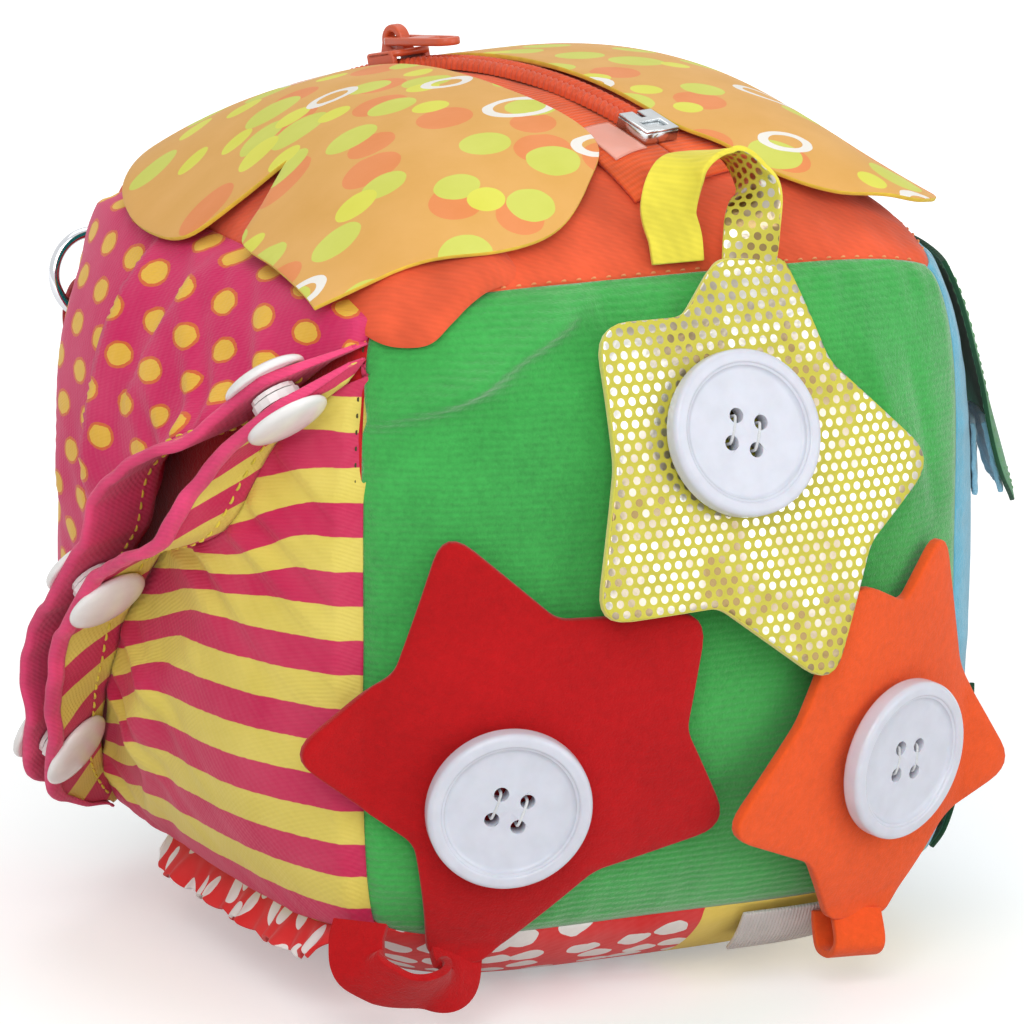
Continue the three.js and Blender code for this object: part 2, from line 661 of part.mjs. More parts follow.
// Each star is stiff felt: partly flat, as its button holds it, and partly lying on the cover.
// Corners are shares of the star's reach from the button's middle, going round from the neck of its strap.
// The strap's route is in shares of the block's half width, from the neck to the seam that it is sewn into.
const starLooks = [
  {
    star: 'yellow_star', strap: 'yellow_strap', button: 'upper', color: 0xe6d84a, strapColor: 0xf0dc30,
    xShare: 0.082, zShare: 1.793, followShare: 0.6, liftShare: 1.75, tiltUpShare: -0.1, tiltSideShare: -0.06,
    slitTurn: 71,
    cornerShares: [[0.414, 0.694], [0.088, 0.724], [-0.154, 0.502], [-0.587, 0.509], [-0.598, -0.07],
      [-0.753, -0.736], [-0.155, -0.717], [0.384, -1.128], [0.643, -0.532], [1.042, -0.221], [0.538, 0.256]],
    routeShares: [[0.255, -1.1, 2.36], [0.297, -1.03, 2.468], [0.24, -0.965, 2.557], [0.1, -0.965, 2.53],
      [0.03, -1, 2.42], [0.033, -1.04, 2.33], [0.033, -1.06, 2.262]],
    widthDirections: [[1, -0.1, 0], [0.8, -0.5, 0], [0.2, -0.9, 0.1], [0.1, -0.9, 0.2], [0.6, -0.6, 0],
      [1, -0.2, 0], [1, 0, 0]],
  },
  {
    star: 'red_star', strap: 'red_strap', button: 'left', color: 0xc8141c, strapColor: 0xc8141c,
    xShare: -0.612, zShare: 0.75, followShare: 0.75, liftShare: 0.82, tiltUpShare: 0, tiltSideShare: 0,
    slitTurn: 71,
    cornerShares: [[-0.245, -0.76], [-0.015, -0.805], [0.44, -0.37], [1.06, -0.21], [0.81, 0.27],
      [0.88, 0.815], [0.2, 0.82], [-0.28, 1.25], [-0.47, 0.585], [-0.935, 0.24], [-0.37, -0.19]],
    routeShares: [[-0.717, -1.135, 0.185], [-0.8, -1.167, 0.172], [-0.91, -1.155, 0.182],
      [-1.005, -1.11, 0.24], [-1.005, -1.068, 0.31], [-0.978, -1.04, 0.365]],
    widthDirections: [[1, 0, -0.2], [0.8, 0.3, -0.6], [0, 0.7, -0.7], [-0.5, 0.7, -0.5], [-0.7, 0.7, 0],
      [-0.7, 0.7, 0]],
  },
  {
    star: 'orange_star', strap: 'orange_strap', button: 'right', color: 0xee5a24, strapColor: 0xee5a24,
    xShare: 0.642, zShare: 0.757, followShare: 0.6, liftShare: 1.25, tiltUpShare: 0, tiltSideShare: -0.14,
    slitTurn: 85,
    cornerShares: [[-0.222, -0.79], [0.1, -0.82], [0.408, -0.412], [0.848, -0.242], [0.462, 0.317],
      [0.294, 1.012], [0.042, 0.704], [-0.271, 0.866], [-0.56, 0.247], [-0.943, -0.219], [-0.416, -0.45]],
    routeShares: [[0.59, -1.2, 0.16], [0.585, -1.165, 0.115], [0.58, -1.1, 0.12], [0.58, -1.075, 0.175],
      [0.58, -1.07, 0.23]],
    widthDirections: [[1, 0, -0.1], [1, 0, 0]],
  },
];

// Outline of a star: corners three, five, seven and nine are tips, and tips are rounded by a curve.
function starOutline(cornerShares) {
  const corners = cornerShares.map(([a, b]) => new THREE.Vector2(a, b).multiplyScalar(starReach));
  const soft = corners.flatMap((corner, i) => {
    if (i < 3 || i % 2 === 0) return [corner];
    const towards = (other) => corner.clone().add(other.clone().sub(corner).setLength(starTipRound));
    const start = towards(corners[i - 1]);
    const end = towards(corners[(i + 1) % corners.length]);
    return new THREE.QuadraticBezierCurve(start, corner, end).getPoints(3);
  });
  return finerOutline(soft.map((point) => point.toArray()), starEdgeStep);
}

// Button: a disc with a raised rim, a dished middle and four holes, held by one thread through them.
const buttonSegments = 24;
const holeOffset = threadHoleSpacing / 2;
const holePlaces = [[-1, -1], [1, -1], [1, 1], [-1, 1]].map(([a, b]) => [a * holeOffset, b * holeOffset]);
const dishHeight = buttonThickness - buttonDish;
const buttonDisc = turned([
  [0, 0], [buttonRadius - buttonEdgeRound, 0], [buttonRadius, buttonEdgeRound],
  [buttonRadius, buttonThickness - buttonEdgeRound], [buttonRadius - buttonEdgeRound, buttonThickness],
  [buttonRadius - buttonRimWidth, buttonThickness], [buttonRadius - buttonRimWidth - buttonDish, dishHeight],
  [0, dishHeight],
], buttonSegments);
const threadHoles = holePlaces.map(([a, b]) => {
  return peg(threadHoleRadius, -buttonThickness, 2 * buttonThickness, 8).translate(a, b, 0);
});
const buttonBody = cut(buttonDisc, ...threadHoles);

for (const look of starLooks) {
  const buttonX = look.xShare * halfX;
  const buttonZ = look.zShare * halfZ;
  const baseDepth = frontDepth(buttonX, buttonZ);
  const slopeX = (frontDepth(buttonX + probeStep, buttonZ) - baseDepth) / probeStep;
  const slopeZ = (frontDepth(buttonX, buttonZ + probeStep) - baseDepth) / probeStep;
  const starAt = (a, b) => {
    const flat = baseDepth + slopeX * a + slopeZ * b;
    const lying = frontDepth(buttonX + a, buttonZ + b);
    const lift = look.liftShare * feltThickness + look.tiltSideShare * a + look.tiltUpShare * b;
    return vector(buttonX + a, -mix(flat, lying, look.followShare) - lift, buttonZ + b);
  };
  const outline = starOutline(look.cornerShares);
  const turn = inRadians(look.slitTurn);
  const slit = outline.map(([a, b]) => {
    const angle = Math.atan2(b, a) - turn;
    const along = slitHalfLength * Math.cos(angle);
    const across = slitHalfWidth * Math.sin(angle);
    return [along * Math.cos(turn) - across * Math.sin(turn), along * Math.sin(turn) + across * Math.cos(turn)];
  });
  addPiece(look.star, cutPlate(outline, null, slit, 2, starAt, feltThickness), look.color, 0.9);

  const [neckA, neckB] = [0, 1].map((i) => mix(look.cornerShares[0][i], look.cornerShares[1][i], 1 / 2));
  const neckOut = starReach + 3 * layGap;
  const neck = starAt(neckA * neckOut, neckB * neckOut);
  const route = [neck, ...look.routeShares.map((shares) => vector(...shares).multiplyScalar(halfX))];
  addPiece(look.strap, band(route, look.widthDirections, strapWidth, strapThickness, 14), look.strapColor, 0.9);

  const outward = normalAt(starAt, 0, 0, probeStep);
  const stand = standing(starAt(0, 0), outward, vector(Math.cos(turn), 0, Math.sin(turn)));
  const buttonBack = feltThickness / 2 + 2 * seatGap + threadFoot;
  const button = buttonBody.clone().translate(0, 0, buttonBack);
  addPiece(`button_${look.button}`, button.applyMatrix4(stand), 0xf2f2f0, 0.35);

  const threadTop = buttonBack + dishHeight + seatGap + threadRadius;
  const footTop = buttonBack - seatGap;
  const shank = peg(threadShankRadius, seatGap - look.liftShare * feltThickness, footTop, 12);
  const foot = peg(holeOffset * Math.SQRT2, footTop - threadFoot, footTop, 12);
  const legs = holePlaces.map(([a, b]) => {
    return peg(threadRadius, footTop - threadFoot / 2, threadTop, 6).translate(a, b, 0);
  });
  const bars = [-1, 1].map((side) => {
    const bar = new THREE.BoxGeometry(threadHoleSpacing, 2 * threadRadius, 2 * threadRadius);
    return bar.translate(0, side * holeOffset, threadTop);
  });
  const thread = joined(shank, foot, ...legs, ...bars);
  addPiece(`thread_${look.button}`, thread.applyMatrix4(stand), 0xf4f4f2, 0.8);
}

// Snap opening. The fin stands on the cloths: d runs along it, e across it towards the striped cloth
// and h out from its root.
const diagonalShare = Math.SQRT1_2;
const stripedWay = vector(0, -diagonalShare, -diagonalShare);
const facingMiddle = finGapHalf + facingThickness / 2;
const hemMiddle = facingMiddle + facingThickness + seatGap;
const hemFace = hemMiddle + facingThickness / 2;

// Share of the way from one snap to the next, held level where the snaps are.
function betweenSnaps(d, low, high) {
  return clampShare((d - low - snapFlatHalf) / (high - low - 2 * snapFlatHalf));
}

// The opening's offset from the diagonal and its lean, the same all round each snap.
function openingShape(d) {
  const [low, high] = d < middleSnap ? [lowerSnap, middleSnap] : [middleSnap, topSnap];
  const held = mix(low, high, betweenSnaps(d, low, high));
  return {
    line: openingOffset + openingBow * smooth(Math.abs(held) / openingBowReach),
    lean: inRadians(mix(upperLeanDegrees, lowerLeanDegrees, smooth(-held / openingBowReach))),
  };
}

// The opening gapes between the snaps.
function gapeAt(d) {
  const bump = (low, high, size) => size * Math.sin(Math.PI * betweenSnaps(d, low, high)) ** 2;
  return bump(middleSnap, topSnap, middleGape) + bump(lowerSnap, middleSnap, lowerGape);
}

// The fin gets lower past its last snap. All that stands on it is level with the snaps.
function finPoint(d, e, h) {
  const { line, lean } = openingShape(d);
  const meetShare = 0.3;
  const gape = gapeAt(d);
  const lift = finRise + (hemFace + gape) * Math.sin(lean);
  const point = onFace(leftCloth, (d + line) * diagonalShare, (d - line) * diagonalShare, lift);
  const opened = e + Math.sign(e) * gape * (1 - (meetShare * h) / finHeight);
  point.x += opened * Math.sin(lean) - h * Math.cos(lean);
  return point.addScaledVector(stripedWay, opened * Math.cos(lean) + h * Math.sin(lean));
}

// Each snap stands square to the fin, its own +Z towards the striped cloth and +X out from the root.
const snapStands = [topSnap, middleSnap, lowerSnap].map((d) => {
  const finMiddle = (place, h) => finPoint(place, 0, h);
  const outward = finMiddle(d, 1).sub(finMiddle(d, 0));
  const across = normalAt(finMiddle, d, snapHeight, probeStep);
  if (across.dot(stripedWay) < 0) across.negate();
  return standing(finMiddle(d, snapHeight), across, outward);
});
const clothLooks = [
  ['striped', 1, 0xe23a7a],
  ['dotted', -1, 0xc9176e],
];
for (const [name, side, color] of clothLooks) {
  const strip = (middleE) => {
    const skin = (wayOut) => (s, t) => {
      const e = side * (middleE + (wayOut * facingThickness) / 2);
      const d = mix(openingBottom, openingTop, s);
      const pastSnap = smooth((lowerSnap - snapFlatHalf - d) / (lowerSnap - snapFlatHalf - openingBottom));
      return finPoint(d, e, t * finHeight * (1 - finTaperShare * pastSnap));
    };
    const holes = snapStands.map((stand) => {
      return peg(postRadius + postClearance, -2 * hemFace, 2 * hemFace, 8).applyMatrix4(stand);
    });
    return cut(sheetBetween(skin(1), skin(-1), 20, 2), ...holes);
  };
  addPiece(`${name}_hem`, strip(hemMiddle), color, 0.7);
  addPiece(`${name}_facing`, strip(facingMiddle), 0xd8356f, 0.75);

  // The cloth runs from the fin's root to the two seams on its side and fills their corner.
  const seamShare = 0.95;
  const halfA = halfAlong(leftCloth.across) * seamShare;
  const halfB = halfAlong(leftCloth.up) * seamShare;
  const rootPlace = (d) => {
    const e = openingShape(d).line + side * (facingMiddle + gapeAt(d));
    return [(d + e) * diagonalShare, (d - e) * diagonalShare];
  };
  const [topA, topB] = rootPlace(openingTop);
  const [lowA, lowB] = rootPlace(openingBottom);
  const corner = [side * halfA, -side * halfB];
  const start = side > 0 ? [halfA, topB] : [topA, halfB];
  const end = side > 0 ? [lowA, -halfB] : [-halfA, lowB];
  const between = (from, to, share) => [mix(from[0], to[0], share), mix(from[1], to[1], share)];
  const skin = (lift) => (s, t) => {
    const outer = s < 1 / 2 ? between(start, corner, s * 2) : between(corner, end, s * 2 - 1);
    const [a, b] = between(rootPlace(mix(openingTop, openingBottom, s)), outer, t);
    return onFace(leftCloth, a, b, lift);
  };
  addPiece(`${name}_cloth`, sheetBetween(skin(clothSeat + clothThickness), skin(clothSeat), 14, 6), color, 0.7);
}

// Snaps: a domed cap outside each hem, its post through hem and facing, a socket ring and a stud.
const capFace = hemFace + layGap;
const capProfile = [
  [0, finGapHalf], [postRadius, finGapHalf], [postRadius, capFace], [capRadius, capFace],
  [capRadius, capFace + capEdge],
];
for (const angle of [30, 62]) {
  const radius = capRadius * Math.cos(inRadians(angle));
  capProfile.push([radius, capFace + capEdge + (capHeight - capEdge) * Math.sin(inRadians(angle))]);
}
capProfile.push([0, capFace + capHeight]);
const cap = turned(capProfile, 16);
const socketTop = finGapHalf - seatGap;
const socketRing = cut(
  peg(socketRadius, socketTop - socketLength, socketTop, 16),
  peg(socketHoleRadius, -hemFace, hemFace, 16),
);
const studBase = seatGap - finGapHalf;
const studFace = studBase + studPlateThickness;
const stud = turned([
  [0, studBase], [studPlateRadius, studBase], [studPlateRadius, studFace], [studRadius, studFace],
  [studRadius, studFace + studLength], [0, studFace + studLength],
], 16);
['top', 'middle', 'lower'].forEach((place, i) => {
  const stand = snapStands[i];
  addPiece(`striped_cap_${place}`, cap.clone().applyMatrix4(stand), 0xf4f4f2, 0.3);
  addPiece(`dotted_cap_${place}`, cap.clone().rotateX(Math.PI).applyMatrix4(stand), 0xf4f4f2, 0.3);
  addPiece(`socket_${place}`, socketRing.clone().applyMatrix4(stand), 0xf4f4f2, 0.4);
  addPiece(`stud_${place}`, stud.clone().applyMatrix4(stand), 0xf4f4f2, 0.4);
});

// Right face: a pad of loops on the cover, a pad of hooks under the upper leaf, and two leaves sewn
// into the top and bottom seams.
function rightPlate(outlineShares, rootY, rootZ, width, length, liftAt, thickness) {
  const outline = outlineShares.map(([a, b]) => [rootY + a * width, rootZ + b * length]);
  const plateAt = (y, z) => onFace(faces.right, y, z - centreZ, liftAt(z));
  return cutPlate(outline, [rootY + width / 2, rootZ + length / 2], null, 3, plateAt, thickness);
}
const leafLift = (z) => leafStandOff + leafFlare * ((leafRoot - z) / leafLength) ** 2;
const leafShares = [
  [0.1, 0.02], [0.5, 0], [0.9, 0.02], [1, 0.2], [0.92, 0.38], [1, 0.5], [0.9, 0.68], [0.62, 0.86],
  [0.2, 1], [0.06, 0.86], [0.02, 0.66], [0.06, 0.5], [0, 0.34], [0, 0.16],
];
const leafPlate = (root, width, length, liftAt) => {
  return rightPlate(leafShares, leafFrontEdge, root, width, length, liftAt, wingThickness);
};
addPiece('leaf_upper', leafPlate(leafRoot, leafWidth, -leafLength, leafLift), 0x2f9a45, 0.85);
const lowerLeaf = leafPlate(lowerLeafRoot, lowerLeafWidth, lowerLeafLength, () => leafStandOff);
addPiece('leaf_lower', lowerLeaf, 0x2f9a45, 0.85);
const boxShares = [[0, 0], [0.5, 0], [1, 0], [1, 0.5], [1, 1], [0.5, 1], [0, 1], [0, 0.5]];
const padPlate = (liftAt) => {
  const lowY = padMiddleY - padWidth / 2;
  return rightPlate(boxShares, lowY, padMiddleZ - padHeight / 2, padWidth, padHeight, liftAt, padThickness);
};
const underLeaf = wingThickness / 2 + 2 * layGap + padThickness / 2;
addPiece('loop_pad', padPlate(() => seatGap + padThickness / 2), 0xdfe9f2, 1);
addPiece('hook_pad', padPlate((z) => leafLift(z) - underLeaf), 0xdfe9f2, 1);

// Back face: a webbing loop near the left edge, and a ring hanging in it.
const webbingPath = [0, 1, 2, 3, 4, 5, 6].map((step) => {
  const bulgeShare = Math.sin((Math.PI * step) / 6) ** 0.7;
  const lift = layGap + webbingThickness / 2 + webbingReach * bulgeShare;
  const innerEdge = -webbingX - webbingWidth / 2;
  return onFace(faces.back, innerEdge, mix(webbingLow, webbingHigh, step / 6) - centreZ, lift).setX(webbingX);
});
const webbing = band(webbingPath, [[1, 0, 0], [1, 0, 0]], webbingWidth, webbingThickness, 14);
addPiece('ring_loop', webbing, 0xb3202c, 0.9);
const ringLean = inRadians(ringLeanDegrees);
const ringWay = vector(0, Math.cos(ringLean), Math.sin(ringLean));
const sideways = vector(1, 0, 0);
const ringPivot = webbingPath[3].clone();
ringPivot.y -= ringInside;
const ringMiddle = ringPivot.clone().addScaledVector(ringWay, ringRadius);
const ring = new THREE.TorusGeometry(ringRadius, ringWire, 8, 24);
const ringStand = standing(ringMiddle, ringWay.clone().cross(sideways), sideways);
addPiece('pull_ring', ring.applyMatrix4(ringStand), 0xd0d3d8, 0.2, 1);

// Bottom seams: a gathered frill on the left and a ribbon tag at the front.
const frillWay = vector(-0.6, 0, -0.8);
const frillAcross = vector(-0.8, 0, 0.6);
const frill = (s, t) => {
  const y = mix(frillStart, frillEnd, s);
  const seam = facePoint(faces.left, -y / halfY, -1, seatGap / 2);
  const wave = frillWave * Math.sin((2 * Math.PI * (y - frillStart)) / frillWaveLength) * t;
  return seam.addScaledVector(frillWay, t * frillDepth).addScaledVector(frillAcross, wave);
};
addPiece('spotted_frill', evenSheet(frill, frillThickness, 24, 2), 0xd11f26, 0.8);
const tagWay = vector(0, -0.2, -0.98);
const tag = (s, t) => {
  const x = tagMiddleX + spread(s, 1 / 2) * tagWidth;
  const seam = facePoint(faces.front, x / halfX, -1, tagThickness / 2 + layGap);
  return seam.addScaledVector(tagWay, t * tagLength);
};
addPiece('ribbon_tag', evenSheet(tag, tagThickness, 3, 3), 0x9b9a98, 0.7);

export default block;
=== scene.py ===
import math
import bpy
import numpy as np
from mathutils import Matrix, Vector, geometry


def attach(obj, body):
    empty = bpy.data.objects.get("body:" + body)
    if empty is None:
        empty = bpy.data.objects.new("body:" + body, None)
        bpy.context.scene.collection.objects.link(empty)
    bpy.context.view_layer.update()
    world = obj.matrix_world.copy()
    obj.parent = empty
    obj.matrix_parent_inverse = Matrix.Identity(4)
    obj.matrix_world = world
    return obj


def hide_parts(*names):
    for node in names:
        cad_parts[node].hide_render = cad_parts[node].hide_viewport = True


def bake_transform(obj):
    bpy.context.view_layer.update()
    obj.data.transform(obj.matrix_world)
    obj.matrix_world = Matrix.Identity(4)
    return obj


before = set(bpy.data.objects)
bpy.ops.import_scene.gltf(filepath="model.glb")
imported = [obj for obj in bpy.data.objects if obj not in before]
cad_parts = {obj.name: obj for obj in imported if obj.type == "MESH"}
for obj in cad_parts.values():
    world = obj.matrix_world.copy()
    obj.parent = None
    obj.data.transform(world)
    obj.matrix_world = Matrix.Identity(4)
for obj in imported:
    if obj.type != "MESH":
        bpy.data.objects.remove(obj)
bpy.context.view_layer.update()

# Camera
# A long lens looks a little down at the edge between the front and left faces, and is rolled a hair.
camera_turn = math.radians(-24.971)
camera_rise = math.radians(13.49)
camera_roll = math.radians(0.169)
camera_distance = 1.5
camera_target = Vector((-0.00049, 0, 0.076927))
camera_lens = 285.8
camera_sensor = 36
camera_reach = (0.1, 20)


def add_object(name, data):
    """An object made of its data block and put in the scene."""
    added = bpy.data.objects.new(name, data)
    bpy.context.collection.objects.link(added)
    return added


def placement(ways, middle):
    """Turns own +X, +Y and +Z to three unit directions and moves the own middle to a point."""
    return Matrix.Translation(Vector(middle)) @ Matrix([tuple(way) for way in ways]).transposed().to_4x4()


back_way = Vector((
    math.sin(camera_turn) * math.cos(camera_rise),
    -math.cos(camera_turn) * math.cos(camera_rise),
    math.sin(camera_rise),
))
level_way = Vector((math.cos(camera_turn), math.sin(camera_turn), 0))
upright_way = back_way.cross(level_way)
right_way = level_way * math.cos(camera_roll) + upright_way * math.sin(camera_roll)
up_way = back_way.cross(right_way)
camera_data = bpy.data.cameras.new("camera")
camera_data.lens = camera_lens
camera_data.sensor_width = camera_sensor
camera_data.clip_start, camera_data.clip_end = camera_reach
camera = add_object("camera", camera_data)
camera.matrix_world = placement((right_way, up_way, back_way), camera_target + back_way * camera_distance)
bpy.context.scene.camera = camera

# Covers
# Six cloth panels sewn edge to edge round the stuffing, each crowned and pulled in at its seams and corners.
# They are different cloths: orange twill, green velour, red felt, blue fleece, teal cotton, spotted cotton.
millimetre = 0.001
half_x = 60
half_y = 64
half_z = 60
seam_sag = 1
corner_pull = 5
bottom_crown = 15.5
floor_cut = 0.5
centre_z = half_z + bottom_crown - floor_cut
cover_thickness = 1.2
cover_cells = 96
crowding_share = 0.25
groove_depth = 0.7
groove_reach = 1.7
pucker_height = 0.28
pucker_reach = 3.2
pucker_pace = 0.85
steep_share = 0.5
fold_end_share = 0.35
sharp_angle = math.radians(50)
cloth_relief = 0.05
twill_relief = 0.06
nap_relief = 0.2
velour_rib_pitch = 1.25
velour_waver = 0.0009
velour_relief = 0.22
fleece_relief = 0.35
spotted_relief = 0.04
spotted_strip_start = 9
spot_size_share = 0.42
half_sizes = np.array([half_x, half_y, half_z], float)
face_ways = {
    "front": ((1, 0, 0), (0, 0, 1), (0, -1, 0), 15),
    "left": ((0, -1, 0), (0, 0, 1), (-1, 0, 0), 14.5),
    "top": ((1, 0, 0), (0, 1, 0), (0, 0, 1), 22),
    "bottom": ((1, 0, 0), (0, -1, 0), (0, 0, -1), bottom_crown),
    "right": ((0, 1, 0), (0, 0, 1), (1, 0, 0), 18),
    "back": ((-1, 0, 0), (0, 0, 1), (0, 1, 0), 17),
    "left_cloth": ((0, -1, 0), (0, 0, 1), (-1, 0, 0), 17.4),
}


def seam_inset(t):
    """How far a seam lies inside the plain cube edge: a sag in its middle and a pull at its ends."""
    return seam_sag * (1 - t * t) + corner_pull * t**4


def face_half(way):
    """Half size of the block along one of its axes."""
    return float(np.abs(way) @ half_sizes)


def crown_share(face, t):
    """Fullness across a face: one in the middle, none at the seams, and flatter where it rests."""
    return 1 - t**4 if face == "bottom" else 1 - (t * t + t**4) / 2


def face_height(face, u, v, lift):
    """Height over the block's middle at (u, v): half size, less the seams' inset, plus the crown."""
    across, up, out, crown = face_ways[face]
    near_u = np.abs(u) ** 4
    near_v = np.abs(v) ** 4
    drop = near_u * seam_inset(v) + near_v * seam_inset(u) - near_u * near_v * corner_pull
    return face_half(out) + lift - drop + crown * crown_share(face, u) * crown_share(face, v)


def on_block(face, a, b, height):
    """Points a across, b up and height out of the block's middle, as an array of x, y, z."""
    across, up, out, crown = face_ways[face]
    a, b, height = np.broadcast_arrays(a, b, height)
    points = a[..., None] * np.array(across) + b[..., None] * np.array(up) + height[..., None] * np.array(out)
    return points + np.array([0, 0, centre_z])


def face_point(face, u, v, lift=0.0):
    """Point of a face at (u, v), each from -1 to 1, standing lift off it and never under the floor."""
    across, up, out, crown = face_ways[face]
    a = u * (face_half(across) + lift - np.abs(u) ** 4 * seam_inset(v))
    b = v * (face_half(up) + lift - np.abs(v) ** 4 * seam_inset(u))
    points = on_block(face, a, b, face_height(face, u, v, lift))
    points[..., 2] = np.maximum(points[..., 2], -np.broadcast_to(lift, points.shape[:-1]))
    return points


def face_place(face, a, b):
    """The (u, v) of a place in millimetres across and up a face, by repeated division."""
    across, up, out, crown = face_ways[face]
    u = a / face_half(across)
    v = b / face_half(up)
    for turn in range(8):
        inset_a = np.clip(np.abs(u), 0, 1) ** 4 * seam_inset(np.clip(v, -1, 1))
        inset_b = np.clip(np.abs(v), 0, 1) ** 4 * seam_inset(np.clip(u, -1, 1))
        u = a / (face_half(across) - inset_a)
        v = b / (face_half(up) - inset_b)
    return u, v


def on_face(face, a, b, lift=0.0):
    """Points straight out from places of a face in millimetres."""
    u, v = face_place(face, a, b)
    return on_block(face, a, b, face_height(face, u, v, lift))


def soft_noise(x, y, seed):
    """Smooth unevenness between about -1 and 1: five sine waves that run different ways."""
    total = np.zeros(np.broadcast(x, y).shape)
    for wave in range(5):
        way = seed * 1.7 + wave * 2.399
        pace = 0.7 + 0.23 * wave
        total = total + np.sin(pace * (x * math.cos(way) + y * math.sin(way)) + seed * 3.1 + wave * 1.9)
    return total / 3


def smooth(x):
    """Goes from zero to one with level ends as x goes from zero to one."""
    x = np.clip(x, 0, 1)
    return x * x * (3 - 2 * x)


def unit(ways):
    """Directions made one long."""
    return ways / np.linalg.norm(ways, axis=-1)[..., None]


def grid(columns, rows, first=(0, 1), second=(0, 1)):
    """Two arrays of even steps: the first from low to high along the columns, the second along the rows."""
    return np.meshgrid(np.linspace(*first, columns + 1), np.linspace(*second, rows + 1))


def grid_quads(columns, rows, closed=False):
    """Corners of the squares of a grid stored row by row; a closed one joins its last column to its first."""
    width = columns if closed else columns + 1
    column, row = np.meshgrid(np.arange(columns), np.arange(rows))
    beside = (column + 1) % width
    low = row * width
    high = low + width
    return np.stack([low + column, low + beside, high + beside, high + column], -1).reshape(-1, 4)


def flat_cloth(a, b):
    """Places on the flat cloth, in metres, from two arrays of millimetres."""
    return np.stack([a, b, np.zeros(np.shape(a))], -1) * millimetre


def new_piece(name, points, faces, material, cloth=None):
    """A smooth mesh from points in millimetres; cloth holds each point's place on the flat cloth."""
    mesh = bpy.data.meshes.new(name)
    points = np.asarray(points, float).reshape(-1, 3)
    mesh.from_pydata((points * millimetre).tolist(), [], np.asarray(faces).tolist())
    mesh.polygons.foreach_set("use_smooth", np.ones(len(mesh.polygons), bool))
    if cloth is not None:
        layer = mesh.attributes.new("cloth", "FLOAT_VECTOR", "POINT")
        layer.data.foreach_set("vector", np.asarray(cloth, float).reshape(-1))
    mesh.validate()
    piece = add_object(name, mesh)
    for finish in material if isinstance(material, (list, tuple)) else [material]:
        mesh.materials.append(finish)
    return piece


def round_edge(piece, width):
    """Rounds the sharp edges of a piece by a width in millimetres."""
    rounding = piece.modifiers.new("edge", "BEVEL")
    rounding.width = width * millimetre
    rounding.segments = 2
    rounding.limit_method = "ANGLE"
    rounding.angle_limit = sharp_angle


def thicken(piece, thickness, offset=0, edge=0.0, own_rim=0):
    """Gives a cloth its thickness in millimetres and rounds its cut edge."""
    wall = piece.modifiers.new("thickness", "SOLIDIFY")
    wall.thickness = thickness * millimetre
    wall.offset = offset
    wall.use_even_offset = False
    wall.material_offset = own_rim
    wall.material_offset_rim = own_rim
    if edge:
        round_edge(piece, edge)
    return piece


def linear(red, green, blue):
    """A colour as the eye sees it, from 0 to 255, in the renderer's linear values."""
    shares = np.array([red, green, blue]) / 255
    values = np.where(shares <= 0.04045, shares / 12.92, ((shares + 0.055) / 1.055) ** 2.4)
    return (*values.tolist(), 1)


def feed(tree, plug, value):
    """Links a socket to an input, or sets the input to a number or a colour."""
    if isinstance(value, (int, float, tuple)):
        plug.default_value = value
    else:
        tree.links.new(value, plug)


def add_node(tree, kind, inputs):
    """A shader node of a kind, each of its named or numbered inputs fed a value or a socket."""
    node = tree.nodes.new(f"ShaderNode{kind}")
    for name, value in inputs.items():
        feed(tree, node.inputs[name], value)
    return node


def arithmetic(tree, operation, first, second=0.0, third=0.0):
    """A Math node on numbers or sockets; returns its result's socket."""
    node = add_node(tree, "Math", {0: first, 1: second, 2: third})
    node.operation = operation
    return node.outputs[0]


def blend_colours(tree, share, first, second):
    """Mixes two colours or sockets by a share; returns the mixed colour's socket."""
    node = tree.nodes.new("ShaderNodeMix")
    node.data_type = "RGBA"
    for plug, value in ((node.inputs[0], share), (node.inputs[6], first), (node.inputs[7], second)):
        feed(tree, plug, value)
    return node.outputs[2]


def noise(tree, place, scale, detail=2.0, roughness=0.5):
    """A Noise Texture at a scale in features a metre; returns its value's socket."""
    return add_node(
        tree, "TexNoise", {"Scale": scale, "Detail": detail, "Roughness": roughness, "Vector": place}
    ).outputs[0]


def axes_of(tree, place):
    """The three numbers of a place, as sockets."""
    return add_node(tree, "SeparateXYZ", {0: place}).outputs


def from_to(tree, value, low, high):
    """How far a value has come from a low to a high one, from 0 to 1."""
    return add_node(tree, "MapRange", {"From Min": low, "From Max": high, "Value": value}).outputs[0]


def wave_of(tree, operation, place, cycles_a_metre):
    """A sine or cosine of a place in metres that comes round so many times a metre."""
    return arithmetic(tree, operation, arithmetic(tree, "MULTIPLY", place, 2 * math.pi * cycles_a_metre))


def add_group(name, inputs, outputs):
    """A new shader node group; returns it with its input sockets and the inputs of its output node."""
    group = bpy.data.node_groups.new(name, "ShaderNodeTree")
    group.interface.new_socket("Place", in_out="INPUT", socket_type="NodeSocketVector")
    for label, value in inputs.items():
        group.interface.new_socket(label, in_out="INPUT", socket_type="NodeSocketFloat").default_value = value
    for label in outputs:
        group.interface.new_socket(label, in_out="OUTPUT", socket_type="NodeSocketFloat")
    return group, group.nodes.new("NodeGroupInput").outputs, group.nodes.new("NodeGroupOutput").inputs


def use_group(tree, group, inputs):
    """Places a group in a material with its own values; returns its outputs."""
    node = tree.nodes.new("ShaderNodeGroup")
    node.node_tree = group
    for name, value in inputs.items():
        feed(tree, node.inputs[name], value)
    return node.outputs


